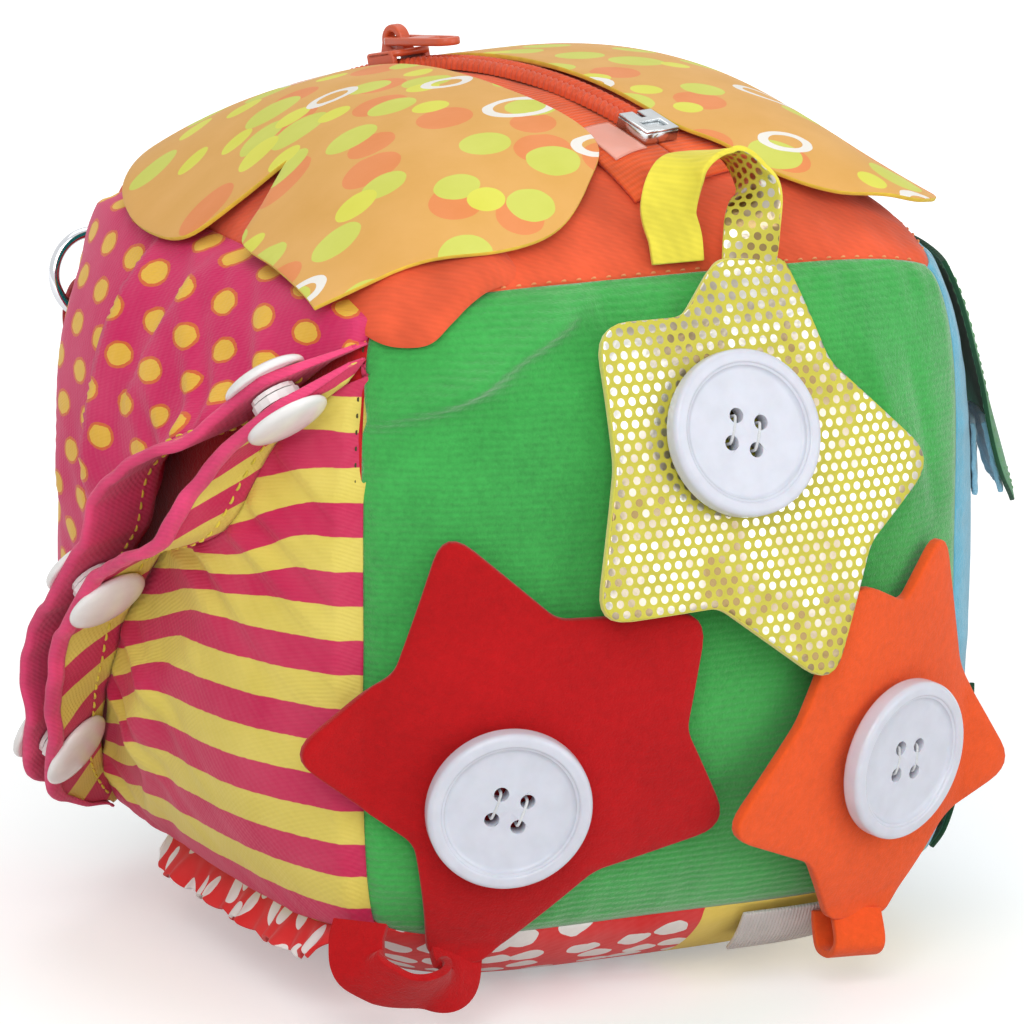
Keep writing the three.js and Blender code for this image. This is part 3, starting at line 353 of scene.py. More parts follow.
# The weave of a cloth: threads over and under each other, run slantwise for a twill, with uneven dye.
weave, weave_in, weave_out = add_group("weave", {"Threads": 2500.0, "Slant": 0.0}, ("Height", "Shade"))
weave_x, weave_y, weave_z = axes_of(weave, weave_in["Place"])
slanted = arithmetic(
    weave, "ADD", arithmetic(weave, "ADD", weave_x, weave_y),
    arithmetic(weave, "MULTIPLY", weave_z, weave_in["Slant"]),
)
warp = arithmetic(weave, "SINE", arithmetic(weave, "MULTIPLY", slanted, weave_in["Threads"]))
weft = arithmetic(weave, "SINE", arithmetic(weave, "MULTIPLY", weave_z, weave_in["Threads"]))
crossing = arithmetic(weave, "MULTIPLY", warp, weft)
fibres_a_metre = 900
mottles_a_metre = 90
fibre = noise(weave, weave_in["Place"], fibres_a_metre, 3)
mottle = noise(weave, weave_in["Place"], mottles_a_metre, 4)
feed(weave, weave_out["Height"], arithmetic(weave, "MULTIPLY_ADD", crossing, 0.35, fibre))
feed(weave, weave_out["Shade"], arithmetic(weave, "MULTIPLY_ADD", crossing, 0.06, mottle))

# The nap of felt, fleece and velour: short fibres in tufts, with lighter and darker patches.
nap, nap_in, nap_out = add_group("nap", {"Tufts": 700.0}, ("Height", "Shade"))
patches_a_metre = 60
hairs_a_metre = 2600
tuft = noise(nap, nap_in["Place"], nap_in["Tufts"], 5, 0.7)
hair = noise(nap, nap_in["Place"], hairs_a_metre, 2)
patch = arithmetic(nap, "MULTIPLY", noise(nap, nap_in["Place"], patches_a_metre, 3), 0.45)
feed(nap, nap_out["Height"], arithmetic(nap, "MULTIPLY_ADD", hair, 0.5, tuft))
feed(nap, nap_out["Shade"], arithmetic(nap, "MULTIPLY_ADD", tuft, 0.55, patch))


def new_finish(name, roughness=0.85, sheen=0.0, metallic=0.0, specular=0.25):
    """A material with its Principled shader and the object's own places as a texture vector."""
    finish = bpy.data.materials.new(name)
    finish.use_nodes = True
    tree = finish.node_tree
    shader = tree.nodes["Principled BSDF"]
    shader.inputs["Roughness"].default_value = roughness
    shader.inputs["Metallic"].default_value = metallic
    shader.inputs["Sheen Weight"].default_value = sheen
    shader.inputs["Sheen Roughness"].default_value = 0.5
    shader.inputs["Specular IOR Level"].default_value = specular
    return finish, tree, shader, tree.nodes.new("ShaderNodeTexCoord").outputs["Object"]


def flat_place(tree):
    """The place on the flat cloth, in metres, from the mesh's own attribute."""
    node = tree.nodes.new("ShaderNodeAttribute")
    node.attribute_name = "cloth"
    return node.outputs["Vector"]


def raise_relief(tree, shader, height, depth):
    """Bump of a depth in millimetres from a height socket."""
    bump = add_node(tree, "Bump", {"Strength": 1.0, "Distance": depth * millimetre, "Height": height})
    tree.links.new(bump.outputs[0], shader.inputs["Normal"])


def shaded(tree, shade, colour, darker=0.82, lighter=1.12):
    """The colour varied by a shade from 0 to 1, from a darker share of it to a lighter one."""
    if isinstance(colour, tuple):
        low = tuple(value * darker for value in colour[:3]) + (1,)
        high = tuple(min(1, value * lighter) for value in colour[:3]) + (1,)
    else:
        low = blend_colours(tree, 1 - darker, colour, (0, 0, 0, 1))
        high = blend_colours(tree, lighter - 1, colour, (1, 1, 1, 1))
    return blend_colours(tree, from_to(tree, shade, 0.3, 0.7), low, high)


def woven_finish(name, colour, threads=2500.0, slant=0.0, depth=cloth_relief):
    """A plain woven cloth of one colour."""
    finish, tree, shader, place = new_finish(name, 0.85, 0.15)
    cloth = use_group(tree, weave, {"Threads": threads, "Slant": slant, "Place": place})
    tree.links.new(shaded(tree, cloth["Shade"], colour), shader.inputs["Base Color"])
    raise_relief(tree, shader, cloth["Height"], depth)
    return finish


def napped_finish(
    name, colour, tufts=700.0, depth=nap_relief, sheen=0.5, darker=0.8, lighter=1.15, roughness=1.0,
):
    """Felt or fleece of one colour."""
    finish, tree, shader, place = new_finish(name, roughness, sheen)
    pile = use_group(tree, nap, {"Tufts": tufts, "Place": place})
    tree.links.new(shaded(tree, pile["Shade"], colour, darker, lighter), shader.inputs["Base Color"])
    raise_relief(tree, shader, pile["Height"], depth)
    return finish


def ribbed_velour(name, colour):
    """Brushed velour whose pile stands in fine level ribs, broken up by its fibres."""
    finish, tree, shader, place = new_finish(name, 1.0, 0.6)
    pile = use_group(tree, nap, {"Tufts": 900.0, "Place": place})
    waver = noise(tree, place, 120, 2)
    level = arithmetic(tree, "MULTIPLY_ADD", waver, velour_waver, axes_of(tree, place)[2])
    rib = wave_of(tree, "SINE", level, 1 / (velour_rib_pitch * millimetre))
    shade = arithmetic(tree, "MULTIPLY_ADD", rib, 0.03, pile["Shade"])
    tree.links.new(shaded(tree, shade, colour, 0.72, 1.22), shader.inputs["Base Color"])
    raise_relief(tree, shader, arithmetic(tree, "MULTIPLY_ADD", rib, 0.2, pile["Height"]), velour_relief)
    return finish


def spotted_finish(name, ground, spot, strip):
    """Cotton with long light spots at different slants, and a plain strip past a place across the cloth."""
    finish, tree, shader, own_place = new_finish(name, 0.85, 0.15)
    place = flat_place(tree)
    stretch = add_node(
        tree, "Mapping", {"Scale": (0.72, 1.25, 1.0), "Rotation": (0.0, 0.0, 0.25), "Vector": place}
    )
    cells = add_node(tree, "TexVoronoi", {"Scale": 150.0, "Randomness": 0.6})
    cells.voronoi_dimensions = "2D"
    tree.links.new(stretch.outputs[0], cells.inputs["Vector"])
    uneven = arithmetic(tree, "MULTIPLY_ADD", noise(tree, place, 300, 1), 0.16, cells.outputs["Distance"])
    inside = arithmetic(tree, "LESS_THAN", uneven, spot_size_share)
    past = arithmetic(tree, "GREATER_THAN", axes_of(tree, place)[0], spotted_strip_start * millimetre)
    cloth = use_group(tree, weave, {"Place": place})
    pattern = blend_colours(tree, past, blend_colours(tree, inside, ground, spot), strip)
    tree.links.new(shaded(tree, cloth["Shade"], pattern, 0.93, 1.04), shader.inputs["Base Color"])
    raise_relief(tree, shader, cloth["Height"], spotted_relief)
    return finish


orange_twill = woven_finish("orange_twill", linear(224, 90, 54), 2900.0, 1.0, twill_relief)
green_velour = ribbed_velour("green_velour", linear(60, 168, 76))
red_felt = napped_finish("red_felt", linear(196, 20, 26))
blue_fleece = napped_finish("blue_fleece", linear(96, 178, 206), 420.0, fleece_relief)
teal_cotton = woven_finish("teal_cotton", linear(34, 140, 138))
red_spotted = spotted_finish(
    "red_spotted_cotton", linear(224, 38, 38), linear(240, 236, 232), linear(236, 206, 88)
)


def fold_frame(a, b, start_a, start_b, end_a, end_b):
    """Places beside a line on a face: along it in shares of its length, and aside in millimetres."""
    way = np.array([end_a - start_a, end_b - start_b], float)
    length = np.hypot(*way)
    way /= length
    along = (a - start_a) * way[0] + (b - start_b) * way[1]
    return along / length, (b - start_b) * way[0] - (a - start_a) * way[1]


def cover_points(face, seed, folds):
    """A face with a groove along its seams, small puckers beside them, and soft folds.
    Points lie closer together near the seams. A fold is a ridge or valley, steeper on its line's right."""
    u, v = grid(cover_cells, cover_cells, (-1, 1), (-1, 1))
    u = u * (1 + crowding_share - crowding_share * u**2)
    v = v * (1 + crowding_share - crowding_share * v**2)
    across, up, out, crown = (np.array(way, float) for way in face_ways[face])
    edge_a = (1 - np.abs(u)) * face_half(across)
    edge_b = (1 - np.abs(v)) * face_half(up)
    a = u * face_half(across)
    b = v * face_half(up)
    rise = np.zeros(u.shape)
    for edge, along, salt in ((edge_a, b, 0.3), (edge_b, a, 1.1)):
        fade = edge / pucker_reach * np.exp(1 - edge / pucker_reach)
        rise += pucker_height * fade * soft_noise(along * pucker_pace, edge * 0.12, seed + salt)
    for *line, width, height in folds:
        along_share, aside = fold_frame(a, b, *line)
        ends = smooth(along_share / fold_end_share) * smooth((1 - along_share) / fold_end_share)
        rise += height * ends * np.exp(-((aside / np.where(aside > 0, width, steep_share * width)) ** 2))
    points = face_point(face, u, v)
    points += rise[..., None] * out
    for edge, side, way in ((edge_a, np.sign(u), across), (edge_b, np.sign(v), up)):
        depth = groove_depth * np.exp(-((edge / groove_reach) ** 2)) / math.sqrt(2)
        points -= depth[..., None] * (out + side[..., None] * way)
    points[..., 2] = np.maximum(points[..., 2], 0)
    return points


# Each fold: where its line starts and ends on the face, its width, and its height.
front_folds = (
    (34, 54, 46, 8, 3.2, 0.9), (44, 50, 53, 5, 2.6, -0.8), (26, 50, 34, 20, 4, -0.5),
    (-52, 40, -30, 52, 3, -0.9), (-50, -50, -34, -30, 3.5, -0.7), (-20, 52, -8, 30, 5, 0.5),
    (48, -48, 30, -30, 4, -0.7), (-46, 20, -40, -20, 4, 0.4),
    (-54, 38, -12, 59, 3.6, 3.4), (-68, 36, -30, 46, 3.2, 2.6), (-50, 31, -12, 50, 4.5, -1.2),
)
top_folds = ((-48, -50, -20, -42, 3, -0.9), (10, -54, 44, -46, 4, 0.8), (46, -52, 52, -20, 3, -0.7))
right_folds = ((-46, 46, -20, 20, 4, -0.9), (-40, -44, -10, -30, 4, 0.8), (30, 40, 44, -10, 5, -0.7))
back_folds = ((-40, 44, -10, 20, 4, -0.9), (44, 40, 20, 14, 4, -0.8), (-44, -40, -16, -20, 4, 0.7))
left_folds = ((10, 50, 44, 20, 4, -0.6),)
cover_looks = (
    ("top_cover", "top_panel", "top", orange_twill, 1.0, top_folds),
    ("front_cover", "front_panel", "front", green_velour, 2.0, front_folds),
    ("opening_lining", "opening_base", "left", red_felt, 3.0, left_folds),
    ("right_cover", "right_panel", "right", blue_fleece, 4.0, right_folds),
    ("back_cover", "back_panel", "back", teal_cotton, 5.0, back_folds),
    ("bottom_cover", "bottom_panel", "bottom", red_spotted, 6.0, ()),
)
for name, node, face, finish, seed, folds in cover_looks:
    points = cover_points(face, seed, folds)
    cover = new_piece(name, points, grid_quads(cover_cells, cover_cells), finish, points * millimetre)
    thicken(cover, cover_thickness, offset=-1)
    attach(cover, "block")
    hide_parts(node)

# Stuffing
# Loose white polyester fibre that fills the covers, here one closed form just inside them.
stuffing_cells = 40
stuffing_inset = 1.9
stuffing_relief = 0.5
stuffing_weld = 0.05
stuffing_u, stuffing_v = grid(stuffing_cells, stuffing_cells, (-1, 1), (-1, 1))
stuffing_points = []
stuffing_faces = []
for order, (name, node, face, finish, seed, folds) in enumerate(cover_looks):
    stuffing_points.append(face_point(face, stuffing_u, stuffing_v, -stuffing_inset).reshape(-1, 3))
    stuffing_faces.append(grid_quads(stuffing_cells, stuffing_cells) + order * (stuffing_cells + 1) ** 2)
fibre_white = napped_finish("fibre_white", linear(240, 240, 236), 300.0, stuffing_relief)
stuffing = new_piece("stuffing", np.concatenate(stuffing_points), np.concatenate(stuffing_faces), fibre_white)
seams_joined = stuffing.modifiers.new("joined", "WELD")
seams_joined.merge_threshold = stuffing_weld * millimetre
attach(stuffing, "block")
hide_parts("filling")

# Zip
# A coil zip lies over the top in an upright arc, turned a little in plan: two ribbed tapes, two coils whose
# teeth slant to the chain, a pressed metal box with a clear film beside it, a painted slider and its pull.
probe_step = 0.05
top_held_share = 0.85
zip_middle_x = -1.3
zip_rise = 1.35
zip_radius = 135
zip_turn = math.radians(15.7)
zip_flat_half = 4
zip_back_reach = 48
zip_front_reach = 52
zip_front_drop = 9
zip_length = zip_back_reach + zip_front_reach
seat_gap = 0.3
lay_gap = 0.5
box_from_middle = -38
box_length = 8
box_half = box_length / 2
slider_from_middle = 31
zip_across = np.array([math.cos(zip_turn), math.sin(zip_turn), 0])
zip_along = np.array([-math.sin(zip_turn), math.cos(zip_turn), 0])


def top_level(x, y):
    """Level of the top cover, carried straight on past its outer part along its slopes."""
    held_x = np.clip(x, -top_held_share * half_x, top_held_share * half_x)
    held_y = np.clip(y, -top_held_share * half_y, top_held_share * half_y)
    level = on_face("top", held_x, held_y)[..., 2]
    slope_x = (on_face("top", held_x + probe_step, held_y)[..., 2] - level) / probe_step
    slope_y = (on_face("top", held_x, held_y + probe_step)[..., 2] - level) / probe_step
    return level + slope_x * (x - held_x) + slope_y * (y - held_y)


zip_top = float(top_level(np.array(zip_middle_x), np.array(0.0))) + zip_rise


def zip_point(along, across, height):
    """Point along, across and over the chain's arc: a circle of the zip's radius with its middle on top."""
    values = [np.asarray(value, float) for value in (along, across, height)]
    along, across, height = np.broadcast_arrays(*values)
    angle = along / zip_radius
    points = across[..., None] * zip_across + ((zip_radius + height) * np.sin(angle))[..., None] * zip_along
    points[..., 0] += zip_middle_x
    points[..., 2] += zip_top - zip_radius + (zip_radius + height) * np.cos(angle)
    return points


def zip_stand(along):
    """Placement on the chain: own +X across it, +Y along it, +Z out of it."""
    origin = zip_point(along, 0, 0)
    out = zip_point(along, 0, 1) - origin
    return placement((zip_across, np.cross(out, zip_across), out), origin)


# The tapes are ribbed across; the coils are nylon.
tape_width = 14
tape_thickness = 0.7
tape_unevenness = 0.12
tape_relief = 0.09
threads_a_metre = 1900
tape_columns = 20
tape_rows = 150
coil_half_width = 3
coil_meet_gap = 0.2
coil_height = 2.2
coil_pitch = 1.5
coil_slant = 0.35
coil_dip = 0.65
coil_pinch = 0.3
coil_relief = 0.05
coil_columns = 10
coil_rows_a_pitch = 8
coil_base = tape_thickness / 2 + seat_gap
chain_start = box_from_middle + box_half + seat_gap
chain_length = zip_back_reach - chain_start


def bed_level(x, y):
    """Level of the tape's middle: the arc near the chain, the top cover further out and past the front."""
    along = (x - zip_middle_x) * zip_along[0] + y * zip_along[1]
    across = (x - zip_middle_x) * zip_across[0] + y * zip_across[1]
    arc = zip_top - zip_radius + np.sqrt(zip_radius**2 - np.minimum(along**2, half_y**2))
    side = smooth((np.abs(across) - zip_flat_half) / (tape_width - zip_flat_half))
    end = smooth((box_from_middle - box_half - along) / zip_front_drop)
    lying = top_level(x, y) + tape_thickness / 2 + seat_gap * 2
    return arc + (lying - arc) * np.maximum(side, end)


def ribbed_finish(name, colour, ribs_a_metre, depth, darker=0.8, lighter=1.15, roughness=0.8):
    """Woven tape with fine ribs across the flat cloth's second axis and finer threads across the first."""
    finish, tree, shader, place = new_finish(name, roughness, 0.15)
    flat_x, flat_y, flat_z = axes_of(tree, flat_place(tree))
    rib = wave_of(tree, "SINE", flat_y, ribs_a_metre)
    cross = wave_of(tree, "SINE", flat_x, threads_a_metre)
    fibres = noise(tree, place, 1100, 3)
    height = arithmetic(tree, "MULTIPLY_ADD", rib, 0.5, arithmetic(tree, "MULTIPLY_ADD", cross, 0.15, fibres))
    shade = arithmetic(tree, "MULTIPLY_ADD", rib, 0.07, noise(tree, place, 160, 3))
    tree.links.new(shaded(tree, shade, colour, darker, lighter), shader.inputs["Base Color"])
    raise_relief(tree, shader, height, depth)
    return finish


zip_tape_cloth = ribbed_finish("zip_tape_cloth", linear(226, 92, 42), 900, tape_relief)
zip_coil_nylon = napped_finish(
    "zip_coil_nylon", linear(216, 84, 46), 500.0, coil_relief, 0.1, roughness=0.45
)
teeth_rows = int(chain_length / coil_pitch * coil_rows_a_pitch)
for side, name in ((-1, "left"), (1, "right")):
    share_across, share_along = grid(tape_columns, tape_rows)
    across = side * (coil_meet_gap + (tape_width - coil_meet_gap) * share_across)
    along = -zip_front_reach + zip_length * share_along
    points = zip_point(along, across, 0)
    uneven = tape_unevenness * soft_noise(along * 0.3, across * 0.2, 2 + side)
    points[..., 2] = bed_level(points[..., 0], points[..., 1]) + uneven
    tape = new_piece(
        f"zip_tape_{name}_cloth", points, grid_quads(tape_columns, tape_rows), zip_tape_cloth,
        flat_cloth(across, along),
    )
    thicken(tape, tape_thickness)
    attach(tape, "block")
    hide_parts(f"zip_tape_{name}")
    # Each coil is a half-round bead; its height dips between the teeth, along lines that slant to the chain.
    around, share_along = grid(coil_columns, teeth_rows, (0, math.pi))
    along = chain_start + chain_length * share_along
    bead_across = (1 - np.cos(around)) / 2
    phase = 2 * math.pi * (along + coil_slant * coil_half_width * bead_across) / coil_pitch
    tooth = 0.5 + 0.5 * np.cos(phase + (side > 0) * math.pi)
    bead_width = coil_half_width - coil_meet_gap / 2 - coil_pinch * (1 - tooth)
    across = side * (coil_meet_gap / 2 + bead_width * bead_across)
    height = coil_base + (coil_height - coil_dip * (1 - tooth)) * np.sin(around) ** 0.55
    coil = new_piece(
        f"zip_coil_{name}_teeth", zip_point(along, across, height), grid_quads(coil_columns, teeth_rows),
        zip_coil_nylon, flat_cloth(across, along),
    )
    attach(coil, "block")
    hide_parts(f"zip_coil_{name}")

# Zip box and film
# A pressed metal box holds the chain's front end, open between two prongs, with a sunk floor.
# Beside it a small clear reddish film stiffens the end of the left tape.
box_half_width = 3.8
box_height = 2.6
box_prong_half = 0.6
box_prong_length = 2.6
box_top = coil_base + box_height
sink_half = 2.4
sink_length = 2.6
sink_depth = 0.6
sink_corner = 0.3
box_edges = {"foot": 0.15, "rim": 0.2}
film_outer = 11.6
film_length = 11
film_thickness = 0.3
film_relief = 0.12
film_cells = 16


def flat_slab(name, outlines, low, high, edge, stand, finish):
    """A slab between two heights from closed outlines, the later ones holes, with a rounded edge."""
    curve = bpy.data.curves.new(name, "CURVE")
    curve.dimensions = "2D"
    curve.fill_mode = "BOTH"
    curve.extrude = (high - low) / 2 - edge
    curve.bevel_depth = edge
    curve.bevel_resolution = 2
    curve.offset = -edge
    for outline in outlines:
        spline = curve.splines.new("POLY")
        spline.points.add(len(outline) - 1)
        spline.points.foreach_set("co", np.array([(a, b, 0, 1) for a, b in outline], float).reshape(-1))
        spline.use_cyclic_u = True
    model = add_object(name, curve)
    mesh = bpy.data.meshes.new_from_object(model.evaluated_get(bpy.context.evaluated_depsgraph_get()))
    bpy.data.objects.remove(model)
    mesh.transform(Matrix.Translation((0, 0, (low + high) / 2)))
    mesh.transform(Matrix.Scale(millimetre, 4) @ stand)
    mesh.materials.clear()
    mesh.materials.append(finish)
    return add_object(name, mesh)


def arc_points(middle_a, middle_b, radius, start, end, steps=10):
    """Points of a circle's arc between two angles in degrees."""
    angles = np.radians(np.linspace(start, end, steps + 1))
    return [(middle_a + radius * math.cos(t), middle_b + radius * math.sin(t)) for t in angles]


def rounded_box(low_a, low_b, high_a, high_b, radius):
    """Outline of a rectangle with round corners."""
    return [
        *arc_points(high_a - radius, low_b + radius, radius, -90, 0),
        *arc_points(high_a - radius, high_b - radius, radius, 0, 90),
        *arc_points(low_a + radius, high_b - radius, radius, 90, 180),
        *arc_points(low_a + radius, low_b + radius, radius, 180, 270),
    ]


def plain_finish(name, colour, roughness, metallic=0.0, wear=0.15, grain=500, depth=0.015):
    """A smooth hard surface with faint unevenness in its roughness and its relief."""
    finish, tree, shader, place = new_finish(name, roughness, 0, metallic, 0.5)
    uneven = noise(tree, place, grain, 4)
    tree.links.new(shaded(tree, uneven, colour, 0.95, 1.03), shader.inputs["Base Color"])
    low = max(0.03, roughness - wear / 2)
    tree.links.new(arithmetic(tree, "MULTIPLY_ADD", uneven, wear, low), shader.inputs["Roughness"])
    raise_relief(tree, shader, noise(tree, place, grain * 0.35, 3), depth)
    return finish


box_metal = plain_finish("box_metal", linear(206, 210, 212), 0.2, 1.0)
box_outline = [
    (-box_half_width, -box_half), (box_half_width, -box_half), (box_half_width, box_half),
    (box_prong_half, box_half), (box_prong_half, box_half - box_prong_length),
    (-box_prong_half, box_half - box_prong_length), (-box_prong_half, box_half), (-box_half_width, box_half),
]
sink_hole = rounded_box(-sink_half, -sink_length, sink_half, 0, sink_corner)
box_looks = (
    ("foot", [box_outline], coil_base, box_top - sink_depth),
    ("rim", [box_outline, sink_hole], box_top - sink_depth, box_top),
)
for part, outlines, low, high in box_looks:
    piece = flat_slab(
        f"zip_box_{part}", outlines, low, high, box_edges[part], zip_stand(box_from_middle), box_metal
    )
    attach(piece, "block")
    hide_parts("zip_box")

film, film_tree, film_shader, film_place = new_finish("reddish_clear_film", 0.12, specular=0.6)
film_shader.inputs["Base Color"].default_value = linear(255, 196, 176)
film_shader.inputs["Alpha"].default_value = 0.45
raise_relief(film_tree, film_shader, noise(film_tree, film_place, 260, 3), film_relief)
film_inner = box_half_width + lay_gap
film_a, film_b = grid(film_cells, film_cells, (0, 1), (-0.5, 0.5))
film_across = -(film_inner + (film_outer - film_inner) * film_a)
film_points = zip_point(box_from_middle + film_b * film_length, film_across, 0)
film_points[..., 2] = bed_level(film_points[..., 0], film_points[..., 1]) + tape_thickness / 2 + lay_gap
film_sheet = new_piece("clear_end_film", film_points, grid_quads(film_cells, film_cells), film)
thicken(film_sheet, film_thickness)
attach(film_sheet, "block")
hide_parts("zip_end_film")

# Slider and pull
# A cast slider, painted like the tape: a plate with a flange down each side and a bail, in which a flat pull
# with a square window and an oval slot swings.
slider_half_width = 4.6
slider_half_length = 5
slider_plate = 1.3
slider_corner = 2.2
slider_edge = 0.55
flange_inner = coil_half_width + seat_gap
flange_half = 3.8
flange_corner = 0.4
flange_edge = 0.25
flange_overlap = 0.3
eye_rise = 1.8
bail_radius = 3
bail_hole_radius = 1.5
bail_foot = 4
bail_half = 1.2
bail_edge = 0.5
pull_half_width = 3.2
pull_shoulder_half = 2.4
pull_shoulder = (-0.6, 0.7)
pull_tip_half = 2.6
pull_length = 17
pull_half_thickness = 0.75
pull_edge = 0.4
pull_window_size = (-1.6, -5.3, 1.6, -0.7, 0.5)
pull_slot_half = 1.2
pull_slot_length = 4.5
pull_slot_corner = 0.6
pull_rim = 1.6
pull_tilt = math.radians(6)
paint_relief = 0.03
slider_paint = plain_finish("slider_paint", linear(206, 88, 52), 0.35, 0.0, 0.2, 700, paint_relief)
plate_base = coil_base + coil_height + seat_gap
plate_top = plate_base + slider_plate
eye_height = plate_top + eye_rise
slider_stand = zip_stand(slider_from_middle)
upright_stand = slider_stand @ Matrix(((0, 0, 1, 0), (1, 0, 0, 0), (0, 1, 0, 0), (0, 0, 0, 1)))
plate_outline = rounded_box(
    -slider_half_width, -slider_half_length, slider_half_width, slider_half_length, slider_corner
)
bail_base = plate_base + slider_plate / 2
bail_outline = [
    (-bail_foot, bail_base), (bail_foot, bail_base), *arc_points(0, eye_height, bail_radius, 0, 180, 16),
]
bail_hole = arc_points(0, eye_height, bail_hole_radius, 360, 0, 16)[:-1]
slider_looks = [
    ("plate", [plate_outline], plate_base, plate_top, slider_edge, slider_stand),
    ("bail", [bail_outline, bail_hole], -bail_half, bail_half, bail_edge, upright_stand),
]
for side, name in ((-1, "left"), (1, "right")):
    inner, outer = sorted((side * flange_inner, side * slider_half_width))
    outline = rounded_box(inner, -flange_half, outer, flange_half, flange_corner)
    slider_looks.append(
        (f"flange_{name}", [outline], coil_base, plate_top - flange_overlap, flange_edge, slider_stand)
    )
for name, *form in slider_looks:
    piece = flat_slab(f"slider_{name}", *form, slider_paint)
    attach(piece, "slider")
    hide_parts("zip_slider")

shoulder_low, shoulder_high = pull_shoulder
pull_outline = [
    *arc_points(0, pull_tip_half - pull_length, pull_tip_half, 180, 360, 16),
    (pull_half_width, shoulder_low), (pull_shoulder_half, shoulder_high),
    (-pull_shoulder_half, shoulder_high), (-pull_half_width, shoulder_low),
]
slot_end = pull_rim - pull_length
pull_window = rounded_box(*pull_window_size)
pull_slot = rounded_box(
    -pull_slot_half, slot_end, pull_slot_half, slot_end + pull_slot_length, pull_slot_corner
)
pull_stand = slider_stand @ Matrix.Translation((0, 0, eye_height)) @ Matrix.Rotation(pull_tilt, 4, "X")
pull = flat_slab(
    "zip_pull_tab", [pull_outline, pull_window[::-1], pull_slot[::-1]],
    -pull_half_thickness, pull_half_thickness, pull_edge, pull_stand, slider_paint,
)
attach(pull, "pull")
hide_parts("zip_pull")

# Wings
# Two leaf-shaped wings of printed cotton over a yellow backing, sewn beside the zip and loose at the outside.
# The print is a plain pebble pattern: lime and yellow pebbles, orange blots and white rings on apricot.
wing_thickness = 0.9
wing_edge = 0.2
wing_seat = 1.9
wing_stand_off = 5
wing_wave = 0.7
wing_cell = 1.7
wing_rim_cell = 1.4
left_wing_shares = (
    (0.007, 0.59), (0.064, 0.2), (0.119, -0.22), (0.141, -0.62), (0.303, -0.78), (0.531, -0.91),
    (0.774, -0.95), (1.001, -0.91), (1.185, -0.87), (1.317, -0.84), (1.211, -0.55), (1.101, -0.28),
    (0.951, -0.19), (0.791, -0.1), (0.927, -0.05), (1.043, 0.03), (1.014, 0.22), (0.92, 0.44),
    (0.763, 0.65), (0.525, 0.81), (0.245, 0.83), (0.034, 0.74),
)
right_wing_shares = (
    (0.057, 0.62), (0.05, 0.33), (0.024, -0.15), (0.013, -0.55), (0.094, -0.67), (0.175, -0.79),
    (0.338, -0.86), (0.538, -0.85), (0.704, -0.81), (0.852, -0.69), (0.925, -0.4), (0.864, -0.22),
    (0.766, -0.12), (0.945, -0.04), (1.12, 0.06), (1.231, 0.3), (1.262, 0.56), (1.137, 0.78),
    (0.895, 0.84), (0.547, 0.78), (0.251, 0.71),
)
slider_way = slider_half_width + lay_gap


def wing_places(shares, side):
    """Outline in millimetres: out from the slider's way on the zip's line, and along the block's depth."""
    shares = np.array(shares)
    y = shares[:, 1] * half_y
    zip_x = zip_middle_x - math.tan(zip_turn) * y
    return np.stack([zip_x + side * (slider_way + (half_x - slider_way) * shares[:, 0]), y], -1)


def rounded_outline(points, step, sharp):
    """A closed Catmull-Rom curve through corner points, cut about every step; sharp corners stay straight."""
    points = np.asarray(points, float)
    count = len(points)
    pieces = []
    for i in range(count):
        before, start, end, after = (points[(i + k) % count] for k in (-1, 0, 1, 2))
        length = np.linalg.norm(end - start)
        leave = (end - start) if i in sharp else (end - before) / 2
        arrive = (end - start) if (i + 1) % count in sharp else (after - start) / 2
        leave = leave / np.linalg.norm(leave) * min(np.linalg.norm(leave), length * 1.1)
        arrive = arrive / np.linalg.norm(arrive) * min(np.linalg.norm(arrive), length * 1.1)
        steps = max(1, round(length / step))
        t = (np.arange(steps) / steps)[:, None]
        pieces.append(
            (2 * t**3 - 3 * t**2 + 1) * start + (t**3 - 2 * t**2 + t) * leave
            + (3 * t**2 - 2 * t**3) * end + (t**3 - t**2) * arrive
        )
    return np.concatenate(pieces)


def within(points, outline):
    """Whether points lie inside an outline: an odd number of its edges cross the line to their right."""
    start, end = outline, np.roll(outline, -1, 0)
    px, py = points[:, None, 0], points[:, None, 1]
    spans = (start[:, 1] > py) != (end[:, 1] > py)
    rise = np.where(end[:, 1] == start[:, 1], 1e-9, end[:, 1] - start[:, 1])
    crossing = start[:, 0] + (py - start[:, 1]) * (end[:, 0] - start[:, 0]) / rise
    return (spans & (px < crossing)).sum(1) % 2 == 1


def cut_cloth(name, outline, place, cell, finish, holes=()):
    """A cloth cut to an outline, filled with points on a staggered grid and laid by place(a, b)."""
    low, high = outline.min(0), outline.max(0)
    rows = np.arange(low[1], high[1], cell * 0.87)
    columns = np.arange(low[0], high[0], cell)
    a, b = np.meshgrid(columns, rows)
    a = a + (np.arange(len(rows)) % 2)[:, None] * cell / 2
    inner = np.stack([a.ravel(), b.ravel()], -1)
    inner = inner[within(inner, outline)]
    rims = [outline, *holes]
    for hole in holes:
        inner = inner[~within(inner, hole)]
    for rim in rims:
        near = np.linalg.norm(inner[:, None] - rim[None], axis=-1).min(1)
        inner = inner[near > cell * 0.62]
    edges = []
    start = 0
    for rim in rims:
        edges += [(start + i, start + (i + 1) % len(rim)) for i in range(len(rim))]
        start += len(rim)
    flat = np.concatenate([*rims, inner])
    corners = [Vector(point) for point in flat.tolist()]
    found = geometry.delaunay_2d_cdt(corners, edges, [], 2 if holes else 1, 1e-5)
    flat = np.array([tuple(point) for point in found[0]])
    return new_piece(
        name, place(flat[:, 0], flat[:, 1]), found[2], finish, flat_cloth(flat[:, 0], flat[:, 1])
    )


